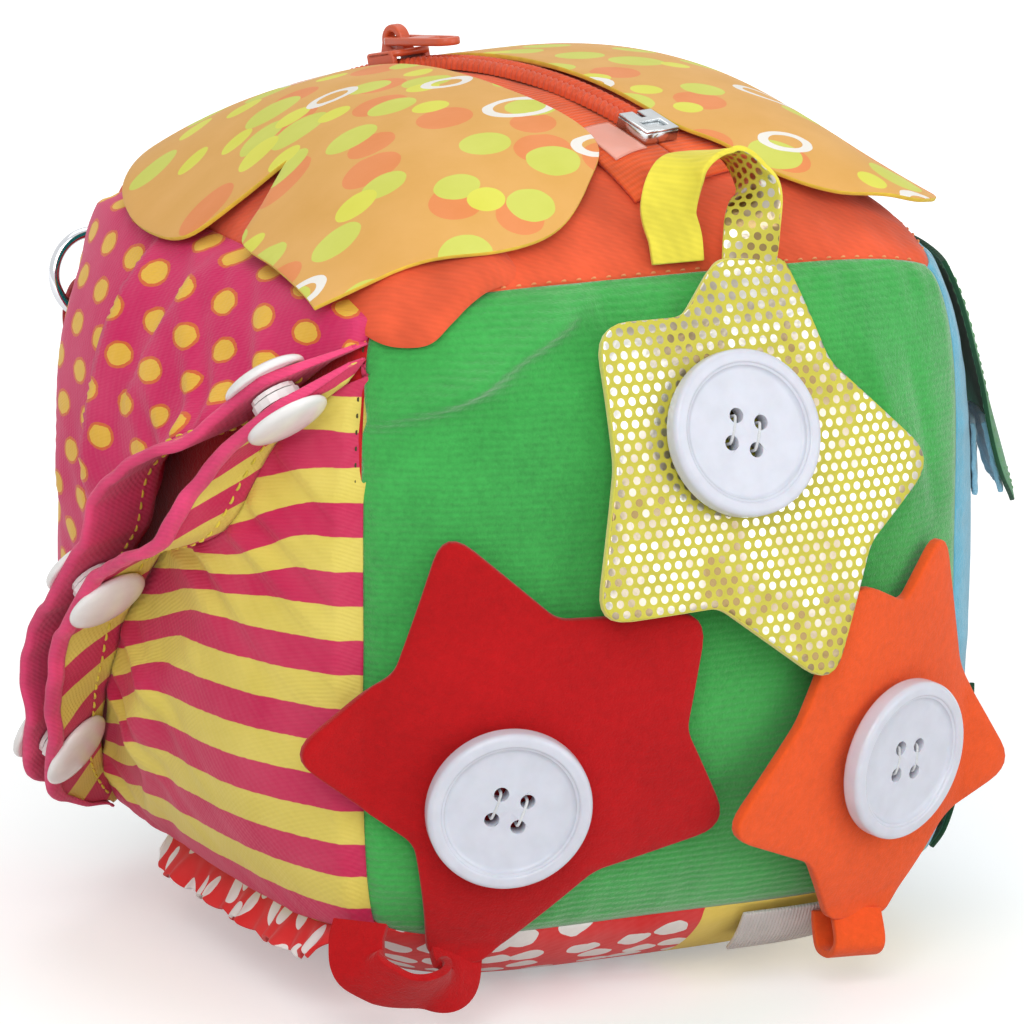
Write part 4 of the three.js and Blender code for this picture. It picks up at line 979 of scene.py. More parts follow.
# Each layer of the print: its pitch and the size of its pebbles as shares, their squash, turn and shift, their
# colour, between which random values a cell keeps its pebble, and the width of the line where it is a ring.
pebble_pitch = 13
pebble_relief = 0.04
pebble_layers = (
    (1.0, 0.32, 0.85, 0.4, 0.011, linear(232, 142, 80), 0.0, 0.5, 0),
    (0.92, 0.31, 0.78, -0.7, 0.027, linear(210, 214, 92), 0.3, 0.95, 0),
    (0.72, 0.28, 0.8, 1.1, 0.053, linear(224, 222, 82), 0.5, 0.82, 0),
    (1.3, 0.22, 0.62, 0.9, 0.041, linear(240, 236, 228), 0.3, 0.72, 0.075),
)


def pebble_cells(tree, place, pitch, squash, turn, shift):
    """Cells of a Voronoi texture for pebbles of one kind. Returns the distance from the middle, in shares
    of the pitch, and two random values of each cell."""
    mapping = add_node(tree, "Mapping", {
        "Location": (shift, shift * 0.7, 0.0), "Rotation": (0.0, 0.0, turn), "Scale": (squash, 1.0, 1.0),
        "Vector": place,
    })
    cells = add_node(tree, "TexVoronoi", {"Scale": 1 / (pitch * millimetre), "Randomness": 0.5})
    cells.voronoi_dimensions = "2D"
    tree.links.new(mapping.outputs[0], cells.inputs["Vector"])
    chances = add_node(tree, "SeparateColor", {0: cells.outputs["Color"]}).outputs
    return cells.outputs["Distance"], chances[0], chances[1]


def pebble_finish(name, ground):
    """Printed cotton with layers of pebbles, each kept or dropped by its cell's random value."""
    finish, tree, shader, own_place = new_finish(name, 0.8, 0.1)
    place = flat_place(tree)
    wobble = noise(tree, place, 160)
    colour = ground
    for pitch_share, size_share, squash, turn, shift, ink, keep_low, keep_high, line_share in pebble_layers:
        distance, chance, other = pebble_cells(tree, place, pebble_pitch * pitch_share, squash, turn, shift)
        uneven = arithmetic(tree, "MULTIPLY_ADD", wobble, 0.05, distance)
        size = arithmetic(tree, "MULTIPLY_ADD", other, 0.09, size_share - 0.02)
        mask = arithmetic(tree, "LESS_THAN", uneven, size)
        mask = arithmetic(tree, "MULTIPLY", mask, arithmetic(tree, "GREATER_THAN", chance, keep_low))
        mask = arithmetic(tree, "MULTIPLY", mask, arithmetic(tree, "LESS_THAN", chance, keep_high))
        if line_share:
            inner = arithmetic(tree, "SUBTRACT", size, line_share)
            mask = arithmetic(tree, "MULTIPLY", mask, arithmetic(tree, "GREATER_THAN", uneven, inner))
        colour = blend_colours(tree, mask, colour, ink)
    cloth = use_group(tree, weave, {"Threads": 4200.0, "Place": place})
    tree.links.new(shaded(tree, cloth["Shade"], colour, 0.94, 1.03), shader.inputs["Base Color"])
    raise_relief(tree, shader, cloth["Height"], pebble_relief)
    return finish


pebble_cotton = pebble_finish("pebble_cotton", linear(226, 170, 88))
yellow_backing = woven_finish("yellow_backing", linear(228, 196, 66))
wing_looks = (
    ("left_wing_cloth", "wing_left", "left_wing", left_wing_shares, -1, 0, (0, 9, 13, 21), 11.0),
    ("right_wing_cloth", "wing_right", "right_wing", right_wing_shares, 1, wing_stand_off, (0, 12, 20), 12.0),
)
for name, node, body, shares, side, stand_off, sharp, seed in wing_looks:

    def wing_place(x, y):
        """The wing lies on the bed, stands off it further out, and waves a little at its loose edge."""
        away = np.abs((x - zip_middle_x) * zip_across[0] + y * zip_across[1]) / half_x
        wave = wing_wave * smooth(away) * soft_noise(x * 0.07, y * 0.07, seed)
        level = bed_level(x, y) + wing_seat + stand_off * smooth(away) + wave
        return np.stack([x, y, level], -1)

    outline = rounded_outline(wing_places(shares, side), wing_rim_cell, sharp)
    wing = cut_cloth(name, outline, wing_place, wing_cell, [pebble_cotton, yellow_backing])
    thicken(wing, wing_thickness, edge=wing_edge, own_rim=1)
    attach(wing, body)
    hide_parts(node)

# Stars and straps
# Three stiff felt stars, each held on a four-hole button by its slit, and each on a strap from a seam.
# The upper star wears a foil of silver dots on its face over plain yellow felt; its strap is folded to a loop.
star_reach = 40
felt_thickness = 2.2
felt_edge = 0.45
felt_relief = 0.22
star_tip_round = 6.5
star_notch_round = 2.2
star_cell = 2.0
star_wave = 0.5
bend_reach = 16
neck_inset = 2
slit_half_length = 15.5
slit_half_width = 0.7
strap_width = 10
strap_edge = 0.25
strap_columns = 12
strap_rows = 90
yellow_felt_relief = 0.12
yellow_tape_relief = 0.07
foil_dot = 1.38
foil_pitch = 2.15
foil_relief = 0.2
# Places are shares of the block's half size; lift is in felt thicknesses, and follow is how far the star lies
# along the cover and not on its button's plane. A route runs from the star's neck to the seam.
star_looks = (
    {
        "name": "yellow", "button": "upper", "body": "upper_star", "bends": "strap", "strap_thickness": 1.1,
        "place_shares": (0.082, 1.793), "follow_share": 0.6, "lift_share": 1.75, "tilt_up": -0.1,
        "tilt_side": -0.06, "slit_turn": 71,
        "corner_shares": ((0.414, 0.694), (0.088, 0.724), (-0.154, 0.502), (-0.587, 0.509), (-0.598, -0.07),
                          (-0.753, -0.736), (-0.155, -0.717), (0.384, -1.128), (0.643, -0.532),
                          (1.042, -0.221), (0.538, 0.256)),
        "route_shares": ((0.255, -1.1, 2.36), (0.297, -1.03, 2.468), (0.24, -0.965, 2.557),
                         (0.1, -0.965, 2.53), (0.03, -1, 2.42), (0.033, -1.04, 2.33), (0.033, -1.06, 2.262)),
        "widths": ((1, -0.1, 0), (0.8, -0.5, 0), (0.2, -0.9, 0.1), (0.1, -0.9, 0.2), (0.6, -0.6, 0),
                   (1, -0.2, 0), (1, 0, 0)),
    },
    {
        "name": "red", "button": "left", "body": "left_star", "bends": "star", "strap_thickness": 1.4,
        "place_shares": (-0.612, 0.75), "follow_share": 0.75, "lift_share": 0.82, "tilt_up": 0,
        "tilt_side": 0, "slit_turn": 71,
        "corner_shares": ((-0.245, -0.76), (-0.015, -0.805), (0.44, -0.37), (1.06, -0.21), (0.81, 0.27),
                          (0.88, 0.815), (0.2, 0.82), (-0.28, 1.25), (-0.47, 0.585), (-0.935, 0.24),
                          (-0.37, -0.19)),
        "route_shares": ((-0.717, -1.135, 0.185), (-0.8, -1.167, 0.172), (-0.91, -1.155, 0.182),
                         (-1.005, -1.11, 0.24), (-1.005, -1.068, 0.31), (-0.978, -1.04, 0.365)),
        "widths": ((1, 0, -0.2), (0.8, 0.3, -0.6), (0, 0.7, -0.7), (-0.5, 0.7, -0.5), (-0.7, 0.7, 0),
                   (-0.7, 0.7, 0)),
    },
    {
        "name": "orange", "button": "right", "body": "right_star", "bends": "star", "strap_thickness": 1.4,
        "place_shares": (0.642, 0.757), "follow_share": 0.6, "lift_share": 1.25, "tilt_up": 0,
        "tilt_side": -0.14, "slit_turn": 85,
        "corner_shares": ((-0.222, -0.79), (0.1, -0.82), (0.408, -0.412), (0.848, -0.242), (0.462, 0.317),
                          (0.294, 1.012), (0.042, 0.704), (-0.271, 0.866), (-0.56, 0.247), (-0.943, -0.219),
                          (-0.416, -0.45)),
        "route_shares": ((0.59, -1.2, 0.16), (0.585, -1.165, 0.115), (0.58, -1.1, 0.12),
                         (0.58, -1.075, 0.175), (0.58, -1.07, 0.23)),
        "widths": ((1, 0, -0.1), (1, 0, 0)),
    },
)


def front_depth(x, z):
    """Distance of the front cover before the block's middle, level past its side seams."""
    u, v = face_place("front", x, z - centre_z)
    return face_height("front", np.clip(u, -1, 1), np.clip(v, -1, 1), 0)


def star_outline(shares):
    """Closed outline of a star: straight sides, round tips and slightly softened notches."""
    corners = np.array(shares) * star_reach
    count = len(corners)
    points = []
    for i, corner in enumerate(corners):
        reach = star_tip_round if i >= 3 and i % 2 else star_notch_round
        start = corner + unit(corners[i - 1] - corner) * reach
        end = corner + unit(corners[(i + 1) % count] - corner) * reach
        t = np.linspace(0, 1, 7)[:, None]
        points.extend((1 - t) ** 2 * start + 2 * t * (1 - t) * corner + t**2 * end)
    points = np.array(points)
    finer = []
    for start, end in zip(points, np.roll(points, -1, 0)):
        steps = max(1, round(np.linalg.norm(end - start) / (star_cell * 0.8)))
        finer.extend(start + (end - start) * k / steps for k in range(steps))
    return np.array(finer)


def curve_path(points, count):
    """Evenly spaced points and tangents of a Catmull-Rom curve through points, and its length."""
    points = np.asarray(points, float)
    ends = np.concatenate([[2 * points[0] - points[1]], points, [2 * points[-1] - points[-2]]])
    fine = []
    for i in range(len(points) - 1):
        p0, p1, p2, p3 = ends[i : i + 4]
        t = np.linspace(0, 1, 41)[:-1, None]
        square = (2 * p0 - 5 * p1 + 4 * p2 - p3) * t**2
        fine.append(0.5 * (2 * p1 + (p2 - p0) * t + square + (3 * p1 - p0 - 3 * p2 + p3) * t**3))
    fine = np.concatenate([*fine, points[-1:]])
    reach = np.concatenate([[0], np.cumsum(np.linalg.norm(np.diff(fine, axis=0), axis=1))])
    at = np.linspace(0, reach[-1], count + 1)
    path = np.stack([np.interp(at, reach, fine[:, axis]) for axis in range(3)], -1)
    return path, unit(np.gradient(path, axis=0)), reach[-1]


def band_points(route, widths, width, columns, rows):
    """A flat band along a curve whose width turns from one direction to the next.
    Returns the points, their normals and their places on the flat band."""
    path, tangents, length = curve_path(route, rows)
    t = np.linspace(0, 1, rows + 1) * (len(widths) - 1)
    low = np.minimum(np.floor(t).astype(int), len(widths) - 2)
    widths = np.array(widths, float)
    across = widths[low] + (widths[low + 1] - widths[low]) * (t - low)[:, None]
    across = unit(across - (across * tangents).sum(1)[:, None] * tangents)
    flat_a, flat_b = grid(columns, rows, (-width / 2, width / 2), (0, length))
    points = path[:, None] + flat_a[..., None] * across[:, None]
    return points, np.cross(tangents, across), flat_cloth(flat_a, flat_b)


# Dots on a staggered grid: the distance in metres from the nearest dot's middle, and that dot's own value.
dot_grid, dot_in, dot_out = add_group("dot_grid", {"Pitch": 0.002}, ("Distance", "Chance"))
dot_x, dot_y, dot_z = axes_of(dot_grid, dot_in["Place"])
dot_rows = arithmetic(dot_grid, "MULTIPLY", dot_in["Pitch"], math.sqrt(3))
dot_results = []
for shift in (0.0, 0.5):
    legs = []
    cells = []
    for socket, pace in ((dot_x, dot_in["Pitch"]), (dot_y, dot_rows)):
        place = arithmetic(dot_grid, "ADD", arithmetic(dot_grid, "DIVIDE", socket, pace), shift)
        leg = arithmetic(dot_grid, "SUBTRACT", arithmetic(dot_grid, "FRACT", place), 0.5)
        legs.append(arithmetic(dot_grid, "MULTIPLY", leg, pace))
        cells.append(arithmetic(dot_grid, "FLOOR", place))
    square = arithmetic(dot_grid, "MULTIPLY", legs[1], legs[1])
    distance = arithmetic(dot_grid, "SQRT", arithmetic(dot_grid, "MULTIPLY_ADD", legs[0], legs[0], square))
    own = arithmetic(dot_grid, "MULTIPLY", cells[1], 78.233)
    own = arithmetic(dot_grid, "SINE", arithmetic(dot_grid, "MULTIPLY_ADD", cells[0], 12.9898, own))
    own = arithmetic(dot_grid, "FRACT", arithmetic(dot_grid, "MULTIPLY", own, 437.5))
    dot_results.append((distance, own))
(first_distance, first_own), (second_distance, second_own) = dot_results
is_first = arithmetic(dot_grid, "LESS_THAN", first_distance, second_distance)
is_second = arithmetic(dot_grid, "SUBTRACT", 1.0, is_first)
own = arithmetic(dot_grid, "MULTIPLY", is_first, first_own)
feed(dot_grid, dot_out["Distance"], arithmetic(dot_grid, "MINIMUM", first_distance, second_distance))
feed(dot_grid, dot_out["Chance"], arithmetic(dot_grid, "MULTIPLY_ADD", is_second, second_own, own))


def foil_finish(name, ground, roughness=0.55):
    """Yellow foil with silver metal dots; each dot's colour is a painted reflection that runs from dull bronze
    to bright silver by its own random value and a wide noise, standing in for the small tilt of the crinkled
    foil.
    """
    finish, tree, shader, own_place = new_finish(name, roughness)
    place = flat_place(tree)
    dots = use_group(tree, dot_grid, {"Pitch": foil_pitch * millimetre, "Place": place})
    dot = arithmetic(tree, "LESS_THAN", dots["Distance"], foil_dot / 2 * millimetre)
    crinkle = noise(tree, place, 420, 3)
    wide = noise(tree, place, 46, 2)
    yellow = shaded(tree, noise(tree, place, 240, 3), ground, 0.9, 1.06)
    # Painted reflection: the dots' colour runs from dull bronze to bright silver by each dot's random value and
    # a wide noise, for the light that its tilt catches.
    painted_reflection = from_to(tree, arithmetic(tree, "MULTIPLY_ADD", dots["Chance"], 0.22, wide), 0.46, 0.74)
    silver = blend_colours(tree, painted_reflection, linear(132, 112, 74), linear(214, 213, 206))
    gloss = arithmetic(tree, "MULTIPLY_ADD", dot, 0.28 - roughness, roughness)
    tree.links.new(blend_colours(tree, dot, yellow, silver), shader.inputs["Base Color"])
    tree.links.new(dot, shader.inputs["Metallic"])
    tree.links.new(gloss, shader.inputs["Roughness"])
    raise_relief(tree, shader, arithmetic(tree, "MULTIPLY_ADD", wide, 2.4, crinkle), foil_relief)
    return finish


yellow_foil = foil_finish("yellow_foil", linear(200, 192, 72))
yellow_felt = napped_finish("yellow_felt", linear(226, 218, 84), 900.0, yellow_felt_relief)
yellow_tape = woven_finish("yellow_tape", linear(232, 218, 74), 2600.0, 1.0, yellow_tape_relief)
red_star_felt = napped_finish("red_star_felt", linear(180, 12, 18), 620.0, felt_relief, 0.15, 0.84, 1.16)
orange_star_felt = napped_finish("orange_star_felt", linear(236, 88, 34), 620.0, felt_relief, 0.15, 0.86, 1.12)
star_felts = {
    "yellow": ([yellow_foil, yellow_felt], [yellow_foil, yellow_tape]),
    "red": ([red_star_felt, red_star_felt], [red_star_felt, red_star_felt]),
    "orange": ([orange_star_felt, orange_star_felt], [orange_star_felt, orange_star_felt]),
}


def star_shape(look):
    """Where a star's points lie, in millimetres across and up from its button: between the button's plane
    and the cover, by the share that it follows the cover, with a small wave past the button."""
    button_x, button_z = np.array(look["place_shares"]) * (half_x, half_z)
    base = front_depth(button_x, button_z)
    slope_x = (front_depth(button_x + probe_step, button_z) - base) / probe_step
    slope_z = (front_depth(button_x, button_z + probe_step) - base) / probe_step

    def star_at(a, b):
        """A star's point at a across and b up from its button."""
        a, b = np.asarray(a, float), np.asarray(b, float)
        flat = base + slope_x * a + slope_z * b
        lying = front_depth(button_x + a, button_z + b)
        out_share = smooth((np.hypot(a, b) - button_radius) / (star_reach - button_radius))
        lift = look["lift_share"] * felt_thickness + look["tilt_side"] * a + look["tilt_up"] * b
        lift = lift + star_wave * out_share * soft_noise(a * 0.06, b * 0.06, button_x)
        depth = flat + (lying - flat) * look["follow_share"]
        return np.stack([button_x + a, -depth - lift, button_z + b], -1)

    return star_at


button_radius = 14.8
for look in star_looks:
    star_at = star_shape(look)
    turn = math.radians(look["slit_turn"])
    round_slit = np.linspace(0, 2 * math.pi, 40, endpoint=False)
    along, aside = slit_half_length * np.cos(round_slit), slit_half_width * np.sin(round_slit)
    slit = np.stack(
        [along * math.cos(turn) - aside * math.sin(turn), along * math.sin(turn) + aside * math.cos(turn)], -1
    )
    outline = star_outline(look["corner_shares"])
    star_felt, strap_felt = star_felts[look["name"]]
    star = cut_cloth(f"{look['name']}_star_felt", outline, star_at, star_cell, star_felt, [slit])
    thicken(star, felt_thickness, edge=felt_edge, own_rim=1)
    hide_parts(f"{look['name']}_star")

    neck_a, neck_b = np.mean(look["corner_shares"][:2], axis=0) * (star_reach - neck_inset)
    neck = star_at(neck_a, neck_b)
    route = [neck, *(np.array(look["route_shares"]) * half_x)]
    points, normals, flat = band_points(route, look["widths"], strap_width, strap_columns, strap_rows)
    strap = new_piece(
        f"{look['name']}_strap_band", points, grid_quads(strap_columns, strap_rows), strap_felt, flat
    )
    thicken(strap, look["strap_thickness"], edge=strap_edge, own_rim=1)
    if look["bends"] == "strap":
        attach(star, look["body"])
        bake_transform(strap)
    else:
        bent = star_at(neck_a, neck_b + bend_reach)
        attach(strap, "block")
        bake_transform(star)
    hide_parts(f"{look['name']}_strap")

# Buttons
# Moulded four-hole buttons with a raised rim, a dished middle and round edges. Each stands square to its star
# on a wound thread shank, sewn through the holes with two strands.
button_thickness = 4
button_dish = 1.25
button_round = 1.1
button_edge = 0.2
button_segments = 96
rim_width = 2.5
rim_round = 0.5
dish_round = 0.9
dish_start = 1.3
dish_levels = (0.05, 0.12, 0.16, 0.17)
hole_radius = 1.35
hole_offset = 2.5
hole_reach = (-1, 6)
thread_radius = 0.28
thread_foot = 0.4
strand_dip = 0.6
strand_sink = 0.1
shank_radius = 1.3
shank_reach = 0.6
plastic_relief = 0.01
button_plastic = plain_finish("button_plastic", linear(206, 209, 220), 0.22, 0.0, 0.08, 260, plastic_relief)
button_shader = button_plastic.node_tree.nodes["Principled BSDF"]
button_shader.inputs["Subsurface Weight"].default_value = 0.15
button_shader.inputs["Subsurface Scale"].default_value = 2 * millimetre
thread_cotton = woven_finish("thread_cotton", linear(210, 212, 214), 6000.0, 2.0)


def lathed(name, profile, segments, finish):
    """A smooth body turned about +Z from pairs of radius and height that start and end on the axis."""
    profile = np.asarray(profile, float)
    angles = np.linspace(0, 2 * math.pi, segments, endpoint=False)
    ring = np.stack([np.cos(angles), np.sin(angles)], -1)
    points = np.concatenate([
        profile[1:-1, None, :1] * ring[None],
        np.broadcast_to(profile[1:-1, None, 1:], (len(profile) - 2, segments, 1)),
    ], -1).reshape(-1, 3)
    faces = grid_quads(segments, len(profile) - 3, closed=True).tolist()
    last = (len(profile) - 3) * segments
    low, high = len(points), len(points) + 1
    points = np.concatenate([points, [[0, 0, profile[0, 1]], [0, 0, profile[-1, 1]]]])
    faces += [[(i + 1) % segments, i, low] for i in range(segments)]
    faces += [[last + i, last + (i + 1) % segments, high] for i in range(segments)]
    mesh = bpy.data.meshes.new(name)
    mesh.from_pydata((points * millimetre).tolist(), [], faces)
    mesh.polygons.foreach_set("use_smooth", np.ones(len(mesh.polygons), bool))
    mesh.materials.append(finish)
    return add_object(name, mesh)


def bored(body, tools):
    """Cuts tools out of a body, applies the cut, and removes the tools."""
    for tool in tools:
        cutting = body.modifiers.new("hole", "BOOLEAN")
        cutting.operation = "DIFFERENCE"
        cutting.solver = "EXACT"
        cutting.object = tool
    mesh = bpy.data.meshes.new_from_object(body.evaluated_get(bpy.context.evaluated_depsgraph_get()))
    body.modifiers.clear()
    body.data = mesh
    for tool in tools:
        bpy.data.objects.remove(tool)


rim_inner = button_radius - rim_width
dish = button_thickness - button_dish
dish_places = (rim_inner * 0.55, hole_offset * 2.1, hole_offset, 0)
button_profile = [
    (0, 0), *arc_points(button_radius - button_round, button_round, button_round, -90, 0, 5),
    *arc_points(button_radius - button_round, button_thickness - button_round, button_round, 0, 90, 5),
    *arc_points(rim_inner + rim_round, button_thickness - rim_round, rim_round, 90, 170, 5),
    *arc_points(rim_inner - dish_start, dish + dish_round, dish_round, -10, -90, 5),
    *((place, dish + level) for place, level in zip(dish_places, dish_levels)),
]
button_back = felt_thickness / 2 + 2 * seat_gap + thread_foot
hole_low, hole_high = hole_reach
hole_profile = [(0, hole_low), (hole_radius, hole_low), (hole_radius, hole_high), (0, hole_high)]
shank_top = button_back + shank_reach
shank_profile = [
    (0, -felt_thickness), (shank_radius, -felt_thickness), (shank_radius, shank_top), (0, shank_top),
]
strand_top = button_back + dish
strand_places = (
    (1, button_back), (1, strand_top - strand_dip),
    (0.7, strand_top - strand_sink), (0, strand_top + strand_sink),
)
strand_rows = 40
strand_sides = 8
for look in star_looks:
    star_at = star_shape(look)
    turn = math.radians(look["slit_turn"])
    middle = star_at(0, 0)
    across = star_at(probe_step, 0) - star_at(-probe_step, 0)
    out = unit(np.cross(across, star_at(0, probe_step) - star_at(0, -probe_step)))
    sideways = np.array([math.cos(turn), 0, math.sin(turn)])
    sideways = unit(sideways - sideways @ out * out)
    stand = placement((sideways, np.cross(out, sideways), out), middle * millimetre)
    button = lathed(f"{look['button']}_button", button_profile, button_segments, button_plastic)
    holes = []
    for side_a in (-1, 1):
        for side_b in (-1, 1):
            tool = lathed("hole", hole_profile, 24, button_plastic)
            offset = Vector((side_a * hole_offset, side_b * hole_offset, 0))
            tool.data.transform(Matrix.Translation(offset * millimetre))
            holes.append(tool)
    bored(button, holes)
    button.data.transform(stand @ Matrix.Translation((0, 0, button_back * millimetre)))
    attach(button, "block")
    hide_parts(f"button_{look['button']}")
    round_edge(button, button_edge)

    strands = [lathed(f"{look['button']}_shank", shank_profile, 20, thread_cotton)]
    for side, name in ((-1, "low"), (1, "high")):
        route = [(-share * hole_offset, side * hole_offset, level) for share, level in strand_places]
        route += [(share * hole_offset, side * hole_offset, level) for share, level in strand_places[2::-1]]
        path, tangents, length = curve_path(route, strand_rows)
        first = np.cross(tangents, (0, 1, 0))[:, None]
        second = np.cross(tangents, first[:, 0])[:, None]
        around = np.linspace(0, 2 * math.pi, strand_sides, endpoint=False)[None, :, None]
        points = path[:, None] + (first * np.cos(around) + second * np.sin(around)) * thread_radius
        strands.append(new_piece(
            f"{look['button']}_strand_{name}", points, grid_quads(strand_sides, strand_rows, closed=True),
            thread_cotton,
        ))
    for strand in strands:
        strand.data.transform(stand)
        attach(strand, "block")
        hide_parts(f"thread_{look['button']}")

# Snap opening
# On the left face two cloths run from the seams to a fin: striped satin in front, dotted satin behind.
# Each turns up into a gathered hem with a pink twill facing that binds its edge, and three snaps hold them.
opening_top = 75
opening_bottom = -68
opening_offset = 5.5
opening_bow = 3.5
opening_bow_reach = 50
upper_lean = math.radians(15)
lower_lean = math.radians(35)
fin_taper_share = 0.65
fin_height = 15
fin_rise = 1.7
fin_gap_half = 1.6
fin_end = 7
facing_thickness = 0.7
hem_middle = fin_gap_half + facing_thickness * 1.5 + seat_gap
facing_middle = fin_gap_half + facing_thickness / 2
hem_face = hem_middle + facing_thickness / 2
middle_gape = 6.5
lower_gape = 1.5
gape_close_share = 0.3
snap_places = (("top", 70), ("middle", 8), ("lower", -38))
snap_levels = [place for name, place in snap_places]
snap_height = 8.4
snap_flat_half = 8.5
snap_near = 5
snap_fade = 9
ruffles = ((0.4, 17.5, 0), (0.13, 6.7, 1))
tuck_reach = 5
tuck_shares = {1: 0.84, -1: 0.9}
tuck_height_share = 0.22
diagonal = math.sqrt(0.5)
striped_way = np.array([0, -diagonal, -diagonal])


def between_snaps(d, low, high):
    """Share of the way from one snap to the next, held level where the snaps are."""
    return np.clip((d - low - snap_flat_half) / (high - low - 2 * snap_flat_half), 0, 1)


def opening_shape(d):
    """The fin's offset from the face's diagonal and its lean at a place along it."""
    top, middle, lower = snap_levels
    upper = middle + (top - middle) * between_snaps(d, middle, top)
    under = lower + (middle - lower) * between_snaps(d, lower, middle)
    held = np.where(d < middle, under, upper)
    line = opening_offset + opening_bow * smooth(np.abs(held) / opening_bow_reach)
    return line, upper_lean + (lower_lean - upper_lean) * smooth(-held / opening_bow_reach)


def gape_at(d):
    """How far the hems stand apart: a wide bulge below the top snap, a narrow one below the middle."""
    top, middle, lower = snap_levels
    wide = middle_gape * np.sin(math.pi * between_snaps(d, middle, top)) ** 2
    return wide + lower_gape * np.sin(math.pi * between_snaps(d, lower, middle)) ** 2


def near_snap(d):
    """One at a snap, none further off than the flat that its cap needs."""
    shares = [1 - smooth((np.abs(d - level) - snap_near) / snap_fade) for level in snap_levels]
    return np.maximum.reduce(shares)


def fin_point(d, e, h):
    """Point of the fin: d along it, e across it towards the striped cloth, h out from its root."""
    d, e, h = np.broadcast_arrays(*(np.asarray(value, float) for value in (d, e, h)))
    line, lean = opening_shape(d)
    gape = gape_at(d)
    lift = fin_rise + (hem_face + gape) * np.sin(lean)
    points = on_face("left_cloth", (d + line) * diagonal, (d - line) * diagonal, lift)
    opened = e + np.sign(e) * gape * (1 - gape_close_share * h / fin_height)
    points[..., 0] += opened * np.sin(lean) - h * np.cos(lean)
    return points + (opened * np.cos(lean) + h * np.sin(lean))[..., None] * striped_way


def fin_wave(d, h):
    """Ruffles that both hems share: none at the root and at the snaps, fullest at the free edge."""
    waves = sum(height * np.sin(2 * math.pi * d / cycle + shift) for height, cycle, shift in ruffles)
    return h / fin_height * (1 - near_snap(d)) * waves


def fin_top(d):
    """Height of the free edge, which gets lower past the last snap and at the very end."""
    start = snap_levels[2] - snap_flat_half
    below = smooth((start - d) / (start - opening_bottom))
    return fin_height * (1 - fin_taper_share * below) * (0.35 + 0.65 * smooth((d - opening_bottom) / fin_end))


def tucked(points, d, side):
    """Past the opening's top the hem shrinks and runs to its place in the front seam."""
    share = smooth((d - opening_top) / tuck_reach)[..., None]
    seam = face_point("left_cloth", np.array(1.0), np.array(tuck_shares[side]))
    root = fin_point(opening_top, side * hem_middle, 0)
    return points + share * (seam - root - (1 - tuck_height_share) * (points - root))


# The two satins: even stripes that waver a little, and round dots with a thin darker ring.
stripe_pitch = 12.4
stripe_start = 101.3
stripe_bend = 8
stripe_waver = 0.0004
dot_pitch = 8.4
dot_radius = 2.2
dot_ring_radius = 2.7
dot_waver = 0.0006
satin_relief = 0.09
facing_relief = 0.12
thread_relief = 0.04


def stripe_place(z, near_root):
    """Height on the flat striped cloth: level lines that bend down where they come near the fin's root."""
    return z - stripe_start + stripe_bend * near_root


def satin_finish(name, pattern):
    """Slanting satin weave over a printed pattern, made by pattern(tree, place), with soft waves."""
    finish, tree, shader, own_place = new_finish(name, 0.6, 0.08)
    place = flat_place(tree)
    cloth = use_group(tree, weave, {"Threads": 5200.0, "Slant": 0.6, "Place": own_place})
    colour = shaded(tree, cloth["Shade"], pattern(tree, place), 0.93, 1.03)
    tree.links.new(colour, shader.inputs["Base Color"])
    height = arithmetic(tree, "MULTIPLY_ADD", noise(tree, place, 220, 3), 1.2, cloth["Height"])
    raise_relief(tree, shader, height, satin_relief)
    return finish


def stripes(tree, place):
    """Even yellow and pink stripes across the cloth's own second axis."""
    level = axes_of(tree, place)[1]
    waver = arithmetic(tree, "MULTIPLY_ADD", noise(tree, place, 500, 2), stripe_waver, level)
    wave = wave_of(tree, "COSINE", waver, 1 / (stripe_pitch * millimetre))
    edge_soft = arithmetic(tree, "MULTIPLY_ADD", wave, 14.0, 0.5)
    clamp = add_node(tree, "Clamp", {0: edge_soft})
    return blend_colours(tree, clamp.outputs[0], linear(204, 34, 84), linear(228, 208, 94))


def dots(tree, place):
    """Yellow dots, each with a thin orange ring, on pink."""
    distance = use_group(tree, dot_grid, {"Pitch": dot_pitch * millimetre, "Place": place})["Distance"]
    uneven = arithmetic(tree, "MULTIPLY_ADD", noise(tree, place, 700, 2), dot_waver, distance)
    outer = arithmetic(tree, "LESS_THAN", uneven, dot_ring_radius * millimetre)
    inner = arithmetic(tree, "LESS_THAN", uneven, dot_radius * millimetre)
    ringed = blend_colours(tree, outer, linear(214, 32, 98), linear(222, 104, 48))
    return blend_colours(tree, inner, ringed, linear(240, 190, 66))


striped_satin = satin_finish("striped_satin", stripes)
dotted_satin = satin_finish("dotted_satin", dots)
pink_twill = woven_finish("pink_twill", linear(228, 70, 118), 3400.0, 1.6, facing_relief)
yellow_thread = woven_finish("yellow_thread", linear(226, 206, 74), 7000.0, 2.0, thread_relief)
stitch_sections = 6
stitch_sides = 6
stitch_end_share = 0.12


